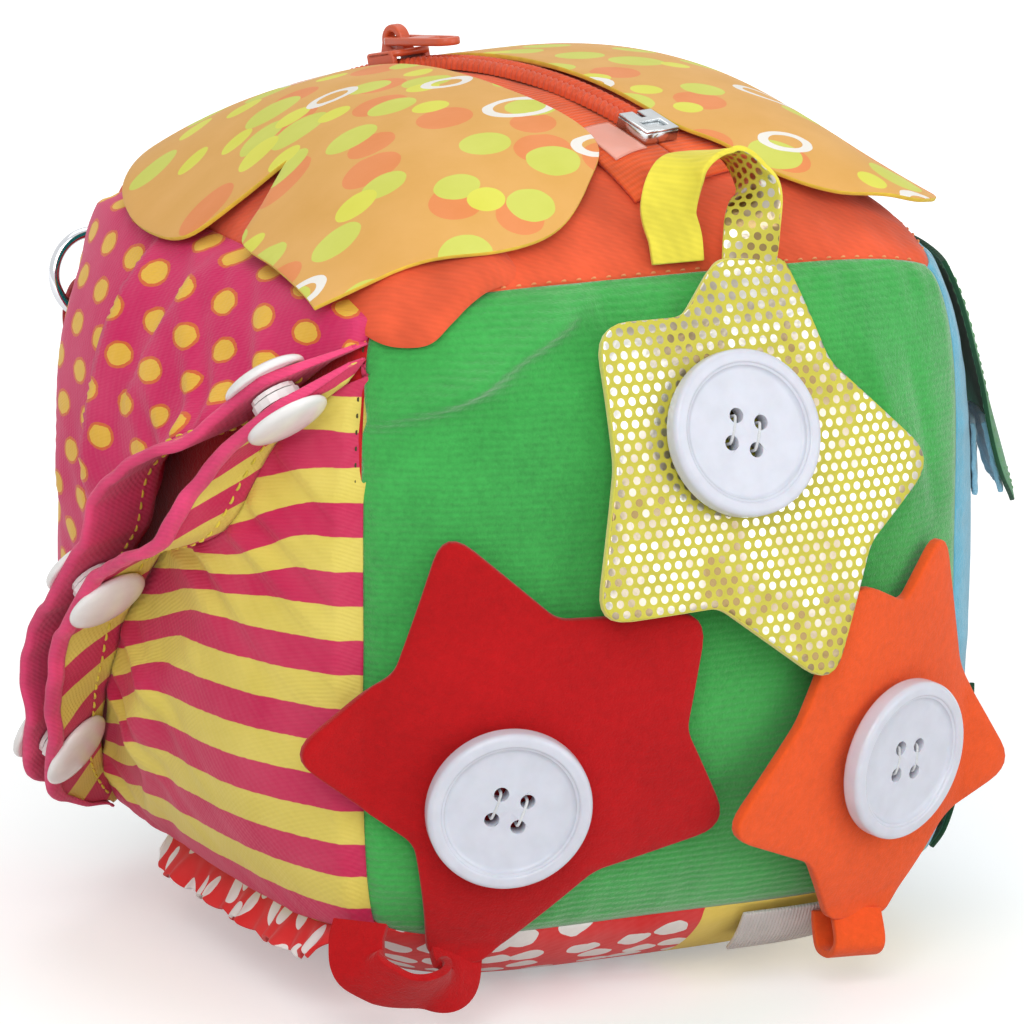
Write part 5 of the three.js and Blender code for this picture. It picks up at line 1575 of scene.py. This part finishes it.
def stitch_row(name, path, normals, length, thickness, finish, gap_share=0.3):
    """A row of thread stitches along a path: small capsules, each sunk a little at both ends."""
    path, normals = np.asarray(path, float), np.asarray(normals, float)
    reach = np.concatenate([[0], np.cumsum(np.linalg.norm(np.diff(path, axis=0), axis=1))])
    count = max(1, int(reach[-1] / length))
    t = np.linspace(-1, 1, stitch_sections + 1)
    bow = np.sqrt(np.clip(1 - t**2, 0, 1)) * 0.55 + 0.45 * (1 - t**4)
    at = (np.arange(count)[:, None] + 0.5 + t[None] * (1 - gap_share) / 2) * length
    middle = np.stack([np.interp(at, reach, path[:, axis]) for axis in range(3)], -1)
    out = unit(np.stack([np.interp(at, reach, normals[:, axis]) for axis in range(3)], -1))
    aside = np.cross(unit(np.gradient(middle, axis=1)), out)
    middle = middle + out * (bow[None, :, None] - 0.6) * thickness * 0.8
    angles = np.linspace(0, 2 * math.pi, stitch_sides, endpoint=False)[:, None]
    wide = (thickness / 2 * np.maximum(bow, stitch_end_share))[None, :, None, None]
    ring = aside[:, :, None] * np.cos(angles) + out[:, :, None] * np.sin(angles)
    quads = grid_quads(stitch_sides, stitch_sections, closed=True)
    starts = np.arange(count) * stitch_sides * (stitch_sections + 1)
    faces = (quads[None] + starts[:, None, None]).reshape(-1, 4)
    return new_piece(name, middle[:, :, None] + ring * wide, faces, finish)


# The two cloths. Each runs from the fin's root out to the two seams on its side, gathered along the root.
cloth_rise = 1.1
cloth_thickness = 0.7
cloth_columns = 150
cloth_rows = 44
cloth_top = opening_top + 4
cloth_bottom = opening_bottom - 5
cloth_root_gap = 0.7
cloth_pressed = {1: 1.15, -1: 0.4}
gather_heights = (0.95, 0.5)
gather_cycles = (9.3, 5.9)
gather_reach = 15
gather_start = 2.5
swell_height = 0.5
swell_reach = 10
cloth_seam_fade = 7
cap_room = 18
cap_room_fades = (8, 6, 2)
cloth_pucker_height = 0.3
join_reach = 5
join_free_start = 30
join_free_fade = 20
root_bend_reach = 15
roll_levels = (6, 14, 58, 16)
roll_ridges = ((2.0, 13, 4.6), (-0.7, 20, 3.5))
# Each pleat of the dotted cloth: where its line starts and ends on the face, and its height.
pleats = ((-14, 2, -14, 60, 3.4), (-2, 22, 10, 62, 1.8), (-32, -4, -50, 44, 1.8))
pleat_steep = 1.3
pleat_wide = 9


def cloth_outer(side, s, root_u, root_v):
    """Where the rows end on the seams: down the front and along the bottom, or along the back and top."""
    first = np.clip(2 * s, 0, 1)
    second = np.clip(2 * s - 1, 0, 1)
    if side > 0:
        outer_u = np.where(s < 0.5, 1, 1 + (root_u[:, -1:] - 1) * second)
        outer_v = np.where(s < 0.5, root_v[:, :1] + (-1 - root_v[:, :1]) * first, -1)
    else:
        outer_u = np.where(s < 0.5, root_u[:, :1] + (-1 - root_u[:, :1]) * first, -1)
        outer_v = np.where(s < 0.5, 1, 1 + (root_v[:, -1:] - 1) * second)
    return outer_u, outer_v


def striped_rise(a, b, d, from_root):
    """A soft roll beside the lower fin, with a hollow past it."""
    low, low_fade, high, high_fade = roll_levels
    roll = smooth((low - d) / low_fade) * smooth((d + high) / high_fade)
    return sum(height * roll * np.exp(-(((from_root - at) / wide) ** 2)) for height, at, wide in roll_ridges)


def dotted_rise(a, b, d, from_root):
    """Three long pleats, steep on their right."""
    rise = 0
    for *line, height in pleats:
        along_share, aside = fold_frame(a, b, *line)
        ends = smooth(along_share / 0.3) * smooth((1.15 - along_share) / 0.4)
        rise = rise + height * ends * np.exp(-((aside / np.where(aside > 0, pleat_steep, pleat_wide)) ** 2))
    return rise


for name, side, finish, own_rise in (
    ("striped", 1, striped_satin, striped_rise), ("dotted", -1, dotted_satin, dotted_rise),
):
    s, t = grid(cloth_columns, cloth_rows)
    d = cloth_top - (cloth_top - cloth_bottom) * s
    line, lean = opening_shape(d)
    spread = line + side * (facing_middle + cloth_root_gap + gape_at(d))
    root_u, root_v = face_place("left_cloth", (d + spread) * diagonal, (d - spread) * diagonal)
    root_u, root_v = np.clip(root_u, -1, 1), np.clip(root_v, -1, 1)
    outer_u, outer_v = cloth_outer(side, s, root_u, root_v)
    u = root_u + (outer_u - root_u) * t
    v = root_v + (outer_v - root_v) * t
    edge = np.minimum((1 - np.abs(u)) * half_y, (1 - np.abs(v)) * half_z)
    cloth_width = np.hypot((outer_u - root_u) * half_y, (outer_v - root_v) * half_z)
    from_root = t * cloth_width
    a, b = u * half_y, v * half_z
    uneven = d + 0.6 * soft_noise(d * 0.2, t, 3)
    gather = gather_heights[0] * np.sin(2 * math.pi * uneven / gather_cycles[0])
    gather += gather_heights[1] * np.sin(2 * math.pi * d / gather_cycles[1] + 2 + t)
    rise = gather * np.exp(-from_root / gather_reach) * smooth(from_root / gather_start)
    rise *= 1 - 0.6 * near_snap(d)
    rise += swell_height * soft_noise(a * 0.13, b * 0.13, 4 + side) * smooth(from_root / swell_reach)
    rise += own_rise(a, b, d, from_root)
    calm_fade, press_fade, press_start = cap_room_fades
    calm = near_snap(d) * smooth((cap_room - from_root) / calm_fade)
    pressed = near_snap(d) * smooth((cap_room - from_root) / press_fade) * smooth(from_root / press_start)
    rise *= smooth(edge / cloth_seam_fade) * (1 - 0.95 * calm)
    rise -= cloth_pressed[side] * pressed
    pucker = edge / pucker_reach * np.exp(1 - edge / pucker_reach)
    pucker *= (1 - near_snap(d)) * soft_noise((a + b) * 0.8, edge * 0.1, 7 + side)
    rise += cloth_pucker_height * pucker
    points = face_point("left_cloth", u, v, cloth_rise * smooth(edge / 4) + 0.05)
    points[..., 0] -= rise
    points[..., 0] += groove_depth * np.exp(-((edge / groove_reach) ** 2)) / math.sqrt(2)
    points[..., 2] = np.maximum(points[..., 2], 0.1)
    root_d = np.clip(d[:1], opening_bottom, opening_top)
    hem_root = tucked(fin_point(root_d, side * hem_middle, 0), d[:1], side)
    # Under the caps the striped cloth lies free of the hem's root, and the dotted one only under the top cap.
    free_share = 1 if side > 0 else smooth((d - join_free_start) / join_free_fade)
    joined = np.exp(-((from_root / join_reach) ** 2)) * smooth((d - cloth_bottom) / join_reach)
    joined = joined * (1 - free_share * near_snap(d))
    points += (hem_root - points[:1]) * joined[..., None]
    near_root = (1 - smooth(from_root / root_bend_reach)) * smooth((cloth_width - 12) / 25)
    if side > 0:
        flat = flat_cloth(a, stripe_place(points[..., 2], near_root))
    else:
        flat = flat_cloth(0.6 * (a + 3 * near_root), b - 2 * near_root)
    cloth = new_piece(f"{name}_satin_cloth", points, grid_quads(cloth_columns, cloth_rows), finish, flat)
    thicken(cloth, cloth_thickness, offset=-side)
    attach(cloth, "block")
    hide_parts(f"{name}_cloth")

# Hems and facings
# The hem stands up from its cloth; the pink facing inside it wraps over the free edge and a little down, and
# yellow top-stitching runs through both near the root.
hem_columns = 220
hem_rows = 14
hem_inset = 0.7
hem_slack_share = 0.45
facing_cloth_thickness = 0.45
wrap_reach = 0.75
wrap_tuck = 0.7
hem_stitch_height = 3.4
hem_stitch_length = 2.9
hem_stitch_widths = (0.55, 0.5)
hem_stitch_lift = 0.05
hem_stitch_sink = 0.3
hem_d = np.linspace(opening_bottom, opening_top + tuck_reach, hem_columns + 1)
wrap_width = hem_middle + wrap_reach - facing_middle
facing_profile = np.array([
    *((facing_middle, share) for share in np.linspace(0, 0.93, 10)),
    *((facing_middle + wrap_width * (1 - math.cos(x)) / 2, 0.93 + 0.07 * math.sin(x))
      for x in np.linspace(0.25, math.pi, 7)),
    (hem_middle + wrap_reach, 0.86), (hem_middle + wrap_tuck, 0.82),
])
for name, side, finish in (("striped", 1, striped_satin), ("dotted", -1, dotted_satin)):
    body = f"{name}_fin"
    d, t = np.meshgrid(hem_d, np.linspace(0, 1, hem_rows + 1))
    h = t * (fin_top(d) - hem_inset)
    points = tucked(fin_point(np.minimum(d, opening_top), side * hem_middle + fin_wave(d, h), h), d, side)
    if side > 0:
        flat = flat_cloth(d, stripe_place(points[:1, :, 2], 1.0) + hem_slack_share * h)
    else:
        flat = flat_cloth(d * diagonal, d * diagonal + h)
    hem = new_piece(f"{name}_hem_cloth", points, grid_quads(hem_columns, hem_rows), finish, flat)
    thicken(hem, facing_thickness)
    d, row = np.meshgrid(hem_d, np.arange(len(facing_profile)))
    h = facing_profile[row, 1] * fin_top(d)
    points = fin_point(np.minimum(d, opening_top), side * facing_profile[row, 0] + fin_wave(d, h), h)
    facing = new_piece(
        f"{name}_facing_cloth", tucked(points, d, side), grid_quads(hem_columns, len(facing_profile) - 1),
        pink_twill, flat_cloth(d, h),
    )
    thicken(facing, facing_cloth_thickness)
    stitch_d = np.linspace(opening_bottom + 4, opening_top - 2, 300)
    stitch_h = hem_stitch_height * fin_top(stitch_d) / fin_height
    stitch_e = side * (hem_face + hem_stitch_lift) + fin_wave(stitch_d, stitch_h)
    inner_e = side * (facing_middle - hem_stitch_sink) + fin_wave(stitch_d, stitch_h)
    path = fin_point(stitch_d, stitch_e, stitch_h)
    inner_path = fin_point(stitch_d, inner_e, stitch_h)
    outward = fin_point(stitch_d, stitch_e + side, stitch_h) - path
    outer_width, inner_width = hem_stitch_widths
    stitches = stitch_row(
        f"{name}_top_stitches", path, outward, hem_stitch_length, outer_width, yellow_thread
    )
    inner = stitch_row(
        f"{name}_inner_stitches", inner_path, -outward, hem_stitch_length, inner_width, yellow_thread
    )
    for piece in (hem, facing, stitches, inner):
        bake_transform(piece)
    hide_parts(f"{name}_hem")
    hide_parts(f"{name}_facing")

# Snap caps
# Three domed white plastic caps on the outside of each hem; the sockets and studs inside keep their plain
# shapes and get the same plastic.
cap_radius = 7.7
cap_height = 2.6
cap_wall = 0.75
cap_round = 0.6
cap_under = 0.8
cap_pin_radius = 1.2
cap_base = hem_face + lay_gap * 0.4
cap_edge = cap_radius - cap_round
snap_plastic = plain_finish("snap_plastic", linear(236, 234, 232), 0.2, 0.0, 0.08, 300, plastic_relief)
cap_profile = [
    (0, fin_gap_half), (cap_pin_radius, fin_gap_half), (cap_pin_radius, cap_base),
    (cap_radius - cap_under, cap_base), *arc_points(cap_edge, cap_base + cap_round, cap_round, -80, -10, 4),
    *((cap_radius * math.cos(x), cap_base + cap_wall + (cap_height - cap_wall) * math.sin(x))
      for x in np.linspace(0, math.pi / 2, 9)[:-1]),
    (0, cap_base + cap_height),
]
for name, side in (("striped", 1), ("dotted", -1)):
    for place, level in snap_places:
        origin = fin_point(level, 0, snap_height)
        outward = fin_point(level, 0, snap_height + 1) - origin
        across = unit(np.cross(fin_point(level + 1, 0, snap_height) - origin, outward))
        across *= np.sign(across @ striped_way) * side
        outward = unit(outward - outward @ across * across)
        stand = placement((outward, np.cross(across, outward), across), origin * millimetre)
        cap = lathed(f"{name}_{place}_snap_cap", cap_profile, 56, snap_plastic)
        cap.data.transform(stand)
        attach(cap, f"{name}_fin")
        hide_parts(f"{name}_cap_{place}")
for kind in ("socket", "stud"):
    for place, level in snap_places:
        for slot in bpy.data.objects[f"{kind}_{place}"].material_slots:
            slot.material = snap_plastic

# Leaves and pads
# On the right face a green leaf hangs from the top seam and closes on a fleecy pad, and a smaller leaf
# stands in the bottom seam. Each leaf is two cloths sewn together near their darker rim.
leaf_root = 130
leaf_front = -57
leaf_width = 42
leaf_length = 48
leaf_stand_off = 1.8
leaf_flare = 7
leaf_wave = 0.8
leaf_seam = 2.2
leaf_stitch_length = 2.2
leaf_stitch_width = 0.4
leaf_relief = 0.08
lower_leaf_root = 19
lower_leaf_length = 30
lower_leaf_width = 32
leaf_cell = 1.3
leaf_shares = (
    (0.1, 0.02), (0.5, 0), (0.9, 0.02), (1, 0.2), (0.92, 0.38), (1, 0.5), (0.9, 0.68), (0.62, 0.86),
    (0.2, 1), (0.06, 0.86), (0.02, 0.66), (0.06, 0.5), (0, 0.34), (0, 0.16),
)
leaf_cotton = woven_finish("leaf_cotton", linear(74, 134, 92), 3600.0, 1.0, leaf_relief)
leaf_rim = woven_finish("leaf_rim", linear(26, 70, 44), 3600.0, 1.0, leaf_relief)
leaf_thread = woven_finish("leaf_thread", linear(110, 160, 110), 7000.0, 2.0, thread_relief)


def upper_leaf_lift(z):
    """The leaf flares away from the face towards its tip."""
    return leaf_stand_off + leaf_flare * ((leaf_root - z) / leaf_length) ** 2


leaf_looks = (
    ("upper_leaf_cloth", "leaf_upper", "upper_leaf", leaf_root, leaf_width, -leaf_length, 1),
    ("lower_leaf_cloth", "leaf_lower", "lower_leaf", lower_leaf_root, lower_leaf_width, lower_leaf_length, 0),
)
for name, node, body, root, width, length, flares in leaf_looks:

    def leaf_place(y, z):
        """The leaf over the right face, waving a little towards its loose end."""
        lift = upper_leaf_lift(z) if flares else leaf_stand_off + 0 * z
        wave = leaf_wave * smooth(np.abs(z - root) / leaf_length) * soft_noise(y * 0.11, z * 0.11, root)
        return on_face("right", y, z - centre_z, lift + wave)

    corners = [(leaf_front + share_a * width, root + share_b * length) for share_a, share_b in leaf_shares]
    outline = rounded_outline(corners, leaf_cell, (0, 2, 8))
    leaf = cut_cloth(name, outline, leaf_place, leaf_cell, [leaf_cotton, leaf_rim])
    thicken(leaf, wing_thickness, edge=wing_edge)
    leaf.modifiers["thickness"].material_offset_rim = 1
    middle = outline.mean(0)
    inset = middle + (outline - middle) * (1 - leaf_seam / np.linalg.norm(outline - middle, axis=1))[:, None]
    inset = np.concatenate([inset, inset[:1]])
    path = leaf_place(inset[:, 0], inset[:, 1])
    rows = []
    for label, side in (("outer", 1), ("inner", -1)):
        outward = np.broadcast_to(np.array([side, 0, 0], float), path.shape)
        rows.append(stitch_row(
            f"{name}_{label}_stitches", path + outward * (wing_thickness / 2), outward,
            leaf_stitch_length, leaf_stitch_width, leaf_thread,
        ))
    for piece in (leaf, *rows):
        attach(piece, body)
    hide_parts(node)

pad_width = 18
pad_height = 14
pad_thickness = 1
pad_edge = 0.3
pad_tuft = 0.16
pad_relief = 0.5
pad_middle_y = -42
pad_middle_z = 91
pad_cells = 26
pad_corner_share = 0.08
hook_fleece = napped_finish("hook_fleece", linear(150, 200, 222), 360.0, pad_relief, 0.7)
a, b = grid(pad_cells, pad_cells, (-1, 1), (-1, 1))
pad_y = pad_middle_y + a * np.sqrt(1 - pad_corner_share * b**2) * pad_width / 2
pad_z = pad_middle_z + b * np.sqrt(1 - pad_corner_share * a**2) * pad_height / 2
tufts = pad_tuft * soft_noise(pad_y * 2.1, pad_z * 2.1, 9)
under_leaf = wing_thickness / 2 + 2 * lay_gap + pad_thickness / 2
pad_looks = (
    ("loop_pile_pad", "loop_pad", "block", seat_gap + pad_thickness / 2),
    ("hook_pile_pad", "hook_pad", "upper_leaf", upper_leaf_lift(pad_z) - under_leaf),
)
for name, node, body, lift in pad_looks:
    points = on_face("right", pad_y, pad_z - centre_z, lift + tufts)
    pad = new_piece(name, points, grid_quads(pad_cells, pad_cells), hook_fleece)
    thicken(pad, pad_thickness, edge=pad_edge)
    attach(pad, body)
    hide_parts(node)

# Webbing loop and ring
# A loop of ribbed red webbing is sewn flat to the back near the left edge, and a plated ring hangs in it.
webbing_width = 10
webbing_thickness = 1.4
webbing_edge = 0.3
webbing_x = -51
webbing_low = 93
webbing_high = 113
webbing_reach = 10.5
webbing_relief = 0.18
webbing_columns = 16
webbing_rows = 90
ring_radius = 8
ring_wire = 1.1
ring_inside = 4.7
ring_lean = math.radians(80)
ring_segments = 96
wire_segments = 20
webbing_red = ribbed_finish("webbing_red", linear(178, 26, 34), 620, webbing_relief)
ring_metal = plain_finish("ring_metal", linear(214, 216, 220), 0.1, 1.0, 0.06)
share = np.linspace(0, 1, 7)
route = on_face(
    "back", np.full(7, -webbing_x - webbing_width / 2),
    webbing_low + (webbing_high - webbing_low) * share - centre_z,
    lay_gap + webbing_thickness / 2 + webbing_reach * np.sin(math.pi * share) ** 0.7,
)
route[:, 0] = webbing_x
points, normals, flat = band_points(
    route, ((1, 0, 0), (1, 0, 0)), webbing_width, webbing_columns, webbing_rows
)
flat = flat[..., [1, 0, 2]]
webbing = new_piece("ring_webbing", points, grid_quads(webbing_columns, webbing_rows), webbing_red, flat)
thicken(webbing, webbing_thickness, edge=webbing_edge)
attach(webbing, "block")
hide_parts("ring_loop")

ring_way = np.array([0, math.cos(ring_lean), math.sin(ring_lean)])
ring_middle = route[3] - np.array([0, ring_inside, 0]) + ring_way * ring_radius
round_ring, round_wire = np.meshgrid(
    np.linspace(0, 2 * math.pi, ring_segments, endpoint=False),
    np.linspace(0, 2 * math.pi, wire_segments, endpoint=False),
)
reach = ring_radius + ring_wire * np.cos(round_wire)
side_way = np.array([1.0, 0, 0])
ring_points = ring_middle + (reach * np.cos(round_ring))[..., None] * side_way
ring_points = ring_points + (reach * np.sin(round_ring))[..., None] * ring_way
ring_points = ring_points + (ring_wire * np.sin(round_wire))[..., None] * np.cross(side_way, ring_way)
ring_faces = grid_quads(ring_segments, wire_segments, closed=True) % round_ring.size
ring = new_piece("plated_ring", ring_points, ring_faces, ring_metal)
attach(ring, "ring")
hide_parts("pull_ring")

# Corner puff
# At the front left corner the orange top cover bulges down over its seam in a soft triangle, under the wing.
# It is part of that cover's twill, gathered between the seam and the crown.
puff_low = (
    (-57.5, -44, 131.5), (-57, -52, 128.5), (-54.8, -61.5, 126), (-51.7, -63.8, 125), (-46.7, -65.4, 125.4),
    (-42.5, -65, 128.6), (-38.5, -64, 131.6), (-33.5, -62.8, 134.2), (-27, -61.2, 136),
)
puff_high = np.array([
    (-52, -42), (-48, -45), (-44, -47), (-41, -49), (-38, -50), (-35, -52), (-32, -54), (-29, -57), (-26, -60),
], float)
puff_bulge = 3.0
puff_crease = 0.25
puff_edge_lift = 1.8
puff_sink = 0.9
puff_stand_off = 0.25
puff_heart = np.array([0, -20, centre_z + 10])
puff_columns = 96
puff_rows = 36
puff_thickness = 1.0
puff_edge = 0.3
low_path = curve_path(puff_low, puff_columns)[0]
high_path = curve_path(on_face("top", puff_high[:, 0], puff_high[:, 1], puff_stand_off), puff_columns)[0]
s, t = grid(puff_columns, puff_rows)
straight = low_path + (high_path - low_path) * t[..., None]
full = np.sin(math.pi * t) ** 0.7 * np.sin(math.pi * np.clip(s, 0, 1)) ** 0.5
creases = puff_crease * soft_noise(s * 9, t * 3, 2)
edge_lift = puff_edge_lift * (1 - t) * np.sin(math.pi * s) ** 0.5 - puff_sink * (1 + 2 * smooth(5 * s - 4))
lift = (puff_bulge + creases) * full + edge_lift
points = straight + lift[..., None] * unit(straight - puff_heart)
puff = new_piece("corner_puff", points, grid_quads(puff_columns, puff_rows), orange_twill)
thicken(puff, puff_thickness, edge=puff_edge)
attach(puff, "block")

# Frill
# A narrow gathered frill of the spotted cotton stands out of the left bottom seam.
frill_start = -52
frill_end = 24
frill_depth = 7
frill_end_fade = 6
frill_root_lift = 0.15
frill_root_sink = 0.4
frill_wave = 1.2
frill_wave_cycle = 15
frill_flutter = 0.55
frill_flutter_cycle = 5.1
frill_unevenness = 0.25
frill_hem_wave_share = 0.06
frill_hem_cycle = 7.4
frill_clearance = 1.0
frill_thickness = 0.8
frill_edge = 0.2
frill_columns = 220
frill_rows = 18
frill_flat_start = 40
frill_way = np.array([-0.6, 0, -0.8])
frill_across = np.array([-0.8, 0, 0.6])
y, t = grid(frill_columns, frill_rows, (frill_start, frill_end))
seam = face_point("left", -y / half_y, np.full(y.shape, -1.0), frill_root_lift) - frill_root_sink * frill_way
flutter = frill_wave * np.sin(2 * math.pi * (y - frill_start) / frill_wave_cycle)
flutter += frill_flutter * np.sin(2 * math.pi * y / frill_flutter_cycle + 1)
flutter = (flutter + frill_unevenness * soft_noise(y * 0.4, t * 4, 5)) * t
ends = np.minimum(1, 0.5 + np.minimum(y - frill_start, frill_end - y) / frill_end_fade)
depth = frill_depth * (1 + frill_hem_wave_share * np.sin(2 * math.pi * y / frill_hem_cycle)) * ends
points = seam + (t * depth)[..., None] * frill_way + flutter[..., None] * frill_across
points[..., 2] = np.maximum(points[..., 2], frill_clearance)
frill = new_piece(
    "spotted_frill_cloth", points, grid_quads(frill_columns, frill_rows), red_spotted,
    flat_cloth(t * depth - frill_flat_start, y),
)
thicken(frill, frill_thickness, edge=frill_edge)
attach(frill, "block")
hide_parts("spotted_frill")

# Ribbon
# A plain ribbed grey ribbon end is caught in the front bottom seam and lies back on the bottom cover.
tag_width = 17
tag_middle_x = 24.2
tag_length = 10
tag_cover_share = 0.9
tag_lift = 1.0
tag_stand_off = 1.2
tag_wave = 0.3
tag_thickness = 0.8
tag_edge = 0.2
tag_relief = 0.12
tag_columns = 32
tag_rows = 24
grey_ribbon = ribbed_finish("grey_ribbon", linear(206, 199, 197), 1500, tag_relief, 0.88, 1.08, 0.75)
tag_a, tag_b = grid(tag_columns, tag_rows, (-0.5, 0.5))
tag_u = (tag_middle_x + tag_a * tag_width) / half_x
tag_v = 1 - tag_b * tag_length * tag_cover_share / half_y
tag_points = face_point("bottom", tag_u, tag_v, tag_lift + tag_stand_off * np.sin(math.pi * tag_b / 2))
tag_points[..., 2] -= tag_wave * np.sin(tag_b * 3) * np.sin(tag_a * 4 + 0.5)
tag = new_piece(
    "ribbon_end", tag_points, grid_quads(tag_columns, tag_rows), grey_ribbon,
    flat_cloth(tag_b * tag_length, tag_a * tag_width),
)
thicken(tag, tag_thickness, edge=tag_edge)
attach(tag, "block")
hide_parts("ribbon_tag")

# Seam stitches
# Short slanting stitches close the seams between the covers, in a thread that matches the lighter cloth.
seam_stitch_length = 2.9
seam_stitch_width = 0.42
seam_gap_share = 0.62
seam_reach_share = 0.93
pale_thread = woven_finish("pale_thread", linear(228, 150, 96), 7000.0, 2.0, thread_relief)
dark_thread = woven_finish("dark_thread", linear(70, 66, 36), 7000.0, 2.0, thread_relief)
seam_looks = (
    ("top_front_seam", "top", "v", -1, -0.993, pale_thread),
    ("front_left_seam", "left_cloth", "u", 1, 0.985, dark_thread),
    ("top_right_seam", "top", "u", 1, 0.97, pale_thread),
    ("top_back_seam", "top", "v", 1, 0.97, pale_thread),
)
for name, face, held, side, place_share, finish in seam_looks:
    t = np.linspace(-seam_reach_share, seam_reach_share, 240)
    place = np.full(t.shape, place_share)
    u, v = (place, t) if held == "u" else (t, place)
    across, up, out, crown = (np.array(way, float) for way in face_ways[face])
    way = across if held == "u" else up
    outward = np.broadcast_to(out * 0.8 + way * side * 0.6, (len(t), 3))
    edge_gap = (1 - abs(place_share)) * half_x
    sunk = groove_depth * math.exp(-((edge_gap / groove_reach) ** 2)) * 0.9
    path = face_point(face, u, v) - outward * sunk
    row = stitch_row(
        f"{name}_stitches", path, outward, seam_stitch_length, seam_stitch_width, finish, seam_gap_share
    )
    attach(row, "block")

# Floor, light and world
# A plain pale floor, a large soft lamp on each side, one above, and a white surround.
floor_reach = 6
floor_corners = [(-floor_reach, -floor_reach, 0), (floor_reach, -floor_reach, 0), (floor_reach, floor_reach, 0),
                 (-floor_reach, floor_reach, 0)]
floor_data = bpy.data.meshes.new("floor")
floor_data.from_pydata(floor_corners, [], [(0, 1, 2, 3)])
floor = add_object("floor", floor_data)


def seen_rays(tree):
    """One for rays that see a surface themselves or by a mirror or a clear film, none for those that light."""
    rays = tree.nodes.new("ShaderNodeLightPath").outputs
    seen = arithmetic(tree, "MAXIMUM", rays["Is Camera Ray"], rays["Is Glossy Ray"])
    return arithmetic(tree, "MAXIMUM", seen, rays["Is Transmission Ray"])


floor_finish, floor_tree, floor_shader, floor_place = new_finish("pale_floor", 1, specular=0)
floor_shader.inputs["Base Color"].default_value = (0.8, 0.8, 0.8, 1)
floor_shader.inputs["Emission Color"].default_value = (1, 1, 1, 1)
floor_distance = floor_tree.nodes.new("ShaderNodeVectorMath")
floor_distance.operation = "LENGTH"
floor_tree.links.new(floor_place, floor_distance.inputs[0])
glow = arithmetic(floor_tree, "MULTIPLY_ADD", floor_distance.outputs["Value"], 0.5, 0.33)
glow = arithmetic(floor_tree, "MINIMUM", glow, 1.0)
glow = arithmetic(floor_tree, "MULTIPLY", seen_rays(floor_tree), glow)
floor_tree.links.new(glow, floor_shader.inputs["Emission Strength"])
floor_data.materials.append(floor_finish)

ambient_share = 0.45
surround = bpy.data.worlds.new("surround")
surround.use_nodes = True
bpy.context.scene.world = surround
world_tree = surround.node_tree
world_light = world_tree.nodes["Background"]
world_light.inputs["Color"].default_value = (1, 1, 1, 1)
strength = arithmetic(world_tree, "MULTIPLY_ADD", seen_rays(world_tree), 1 - ambient_share, ambient_share)
world_tree.links.new(strength, world_light.inputs["Strength"])

# Each lamp: its place and its size in metres, and its power in watts.
lamp_aim = Vector((0, 0, 0.08))
lamp_looks = (
    ("key_lamp", (-0.55, -1.0, 0.85), 0.9, 9.0),
    ("fill_lamp", (0.7, -1.0, 0.3), 1.0, 5.2),
    ("top_lamp", (0.1, 0.25, 1.3), 0.9, 4.3),
)
for name, place, size, power in lamp_looks:
    lamp_data = bpy.data.lights.new(name, "AREA")
    lamp_data.energy = power
    lamp_data.size = size
    lamp = add_object(name, lamp_data)
    lamp.location = place
    lamp.rotation_mode = "QUATERNION"
    lamp.rotation_quaternion = (Vector(place) - lamp_aim).to_track_quat("Z", "Y")
bpy.context.scene.view_settings.view_transform = "Standard"
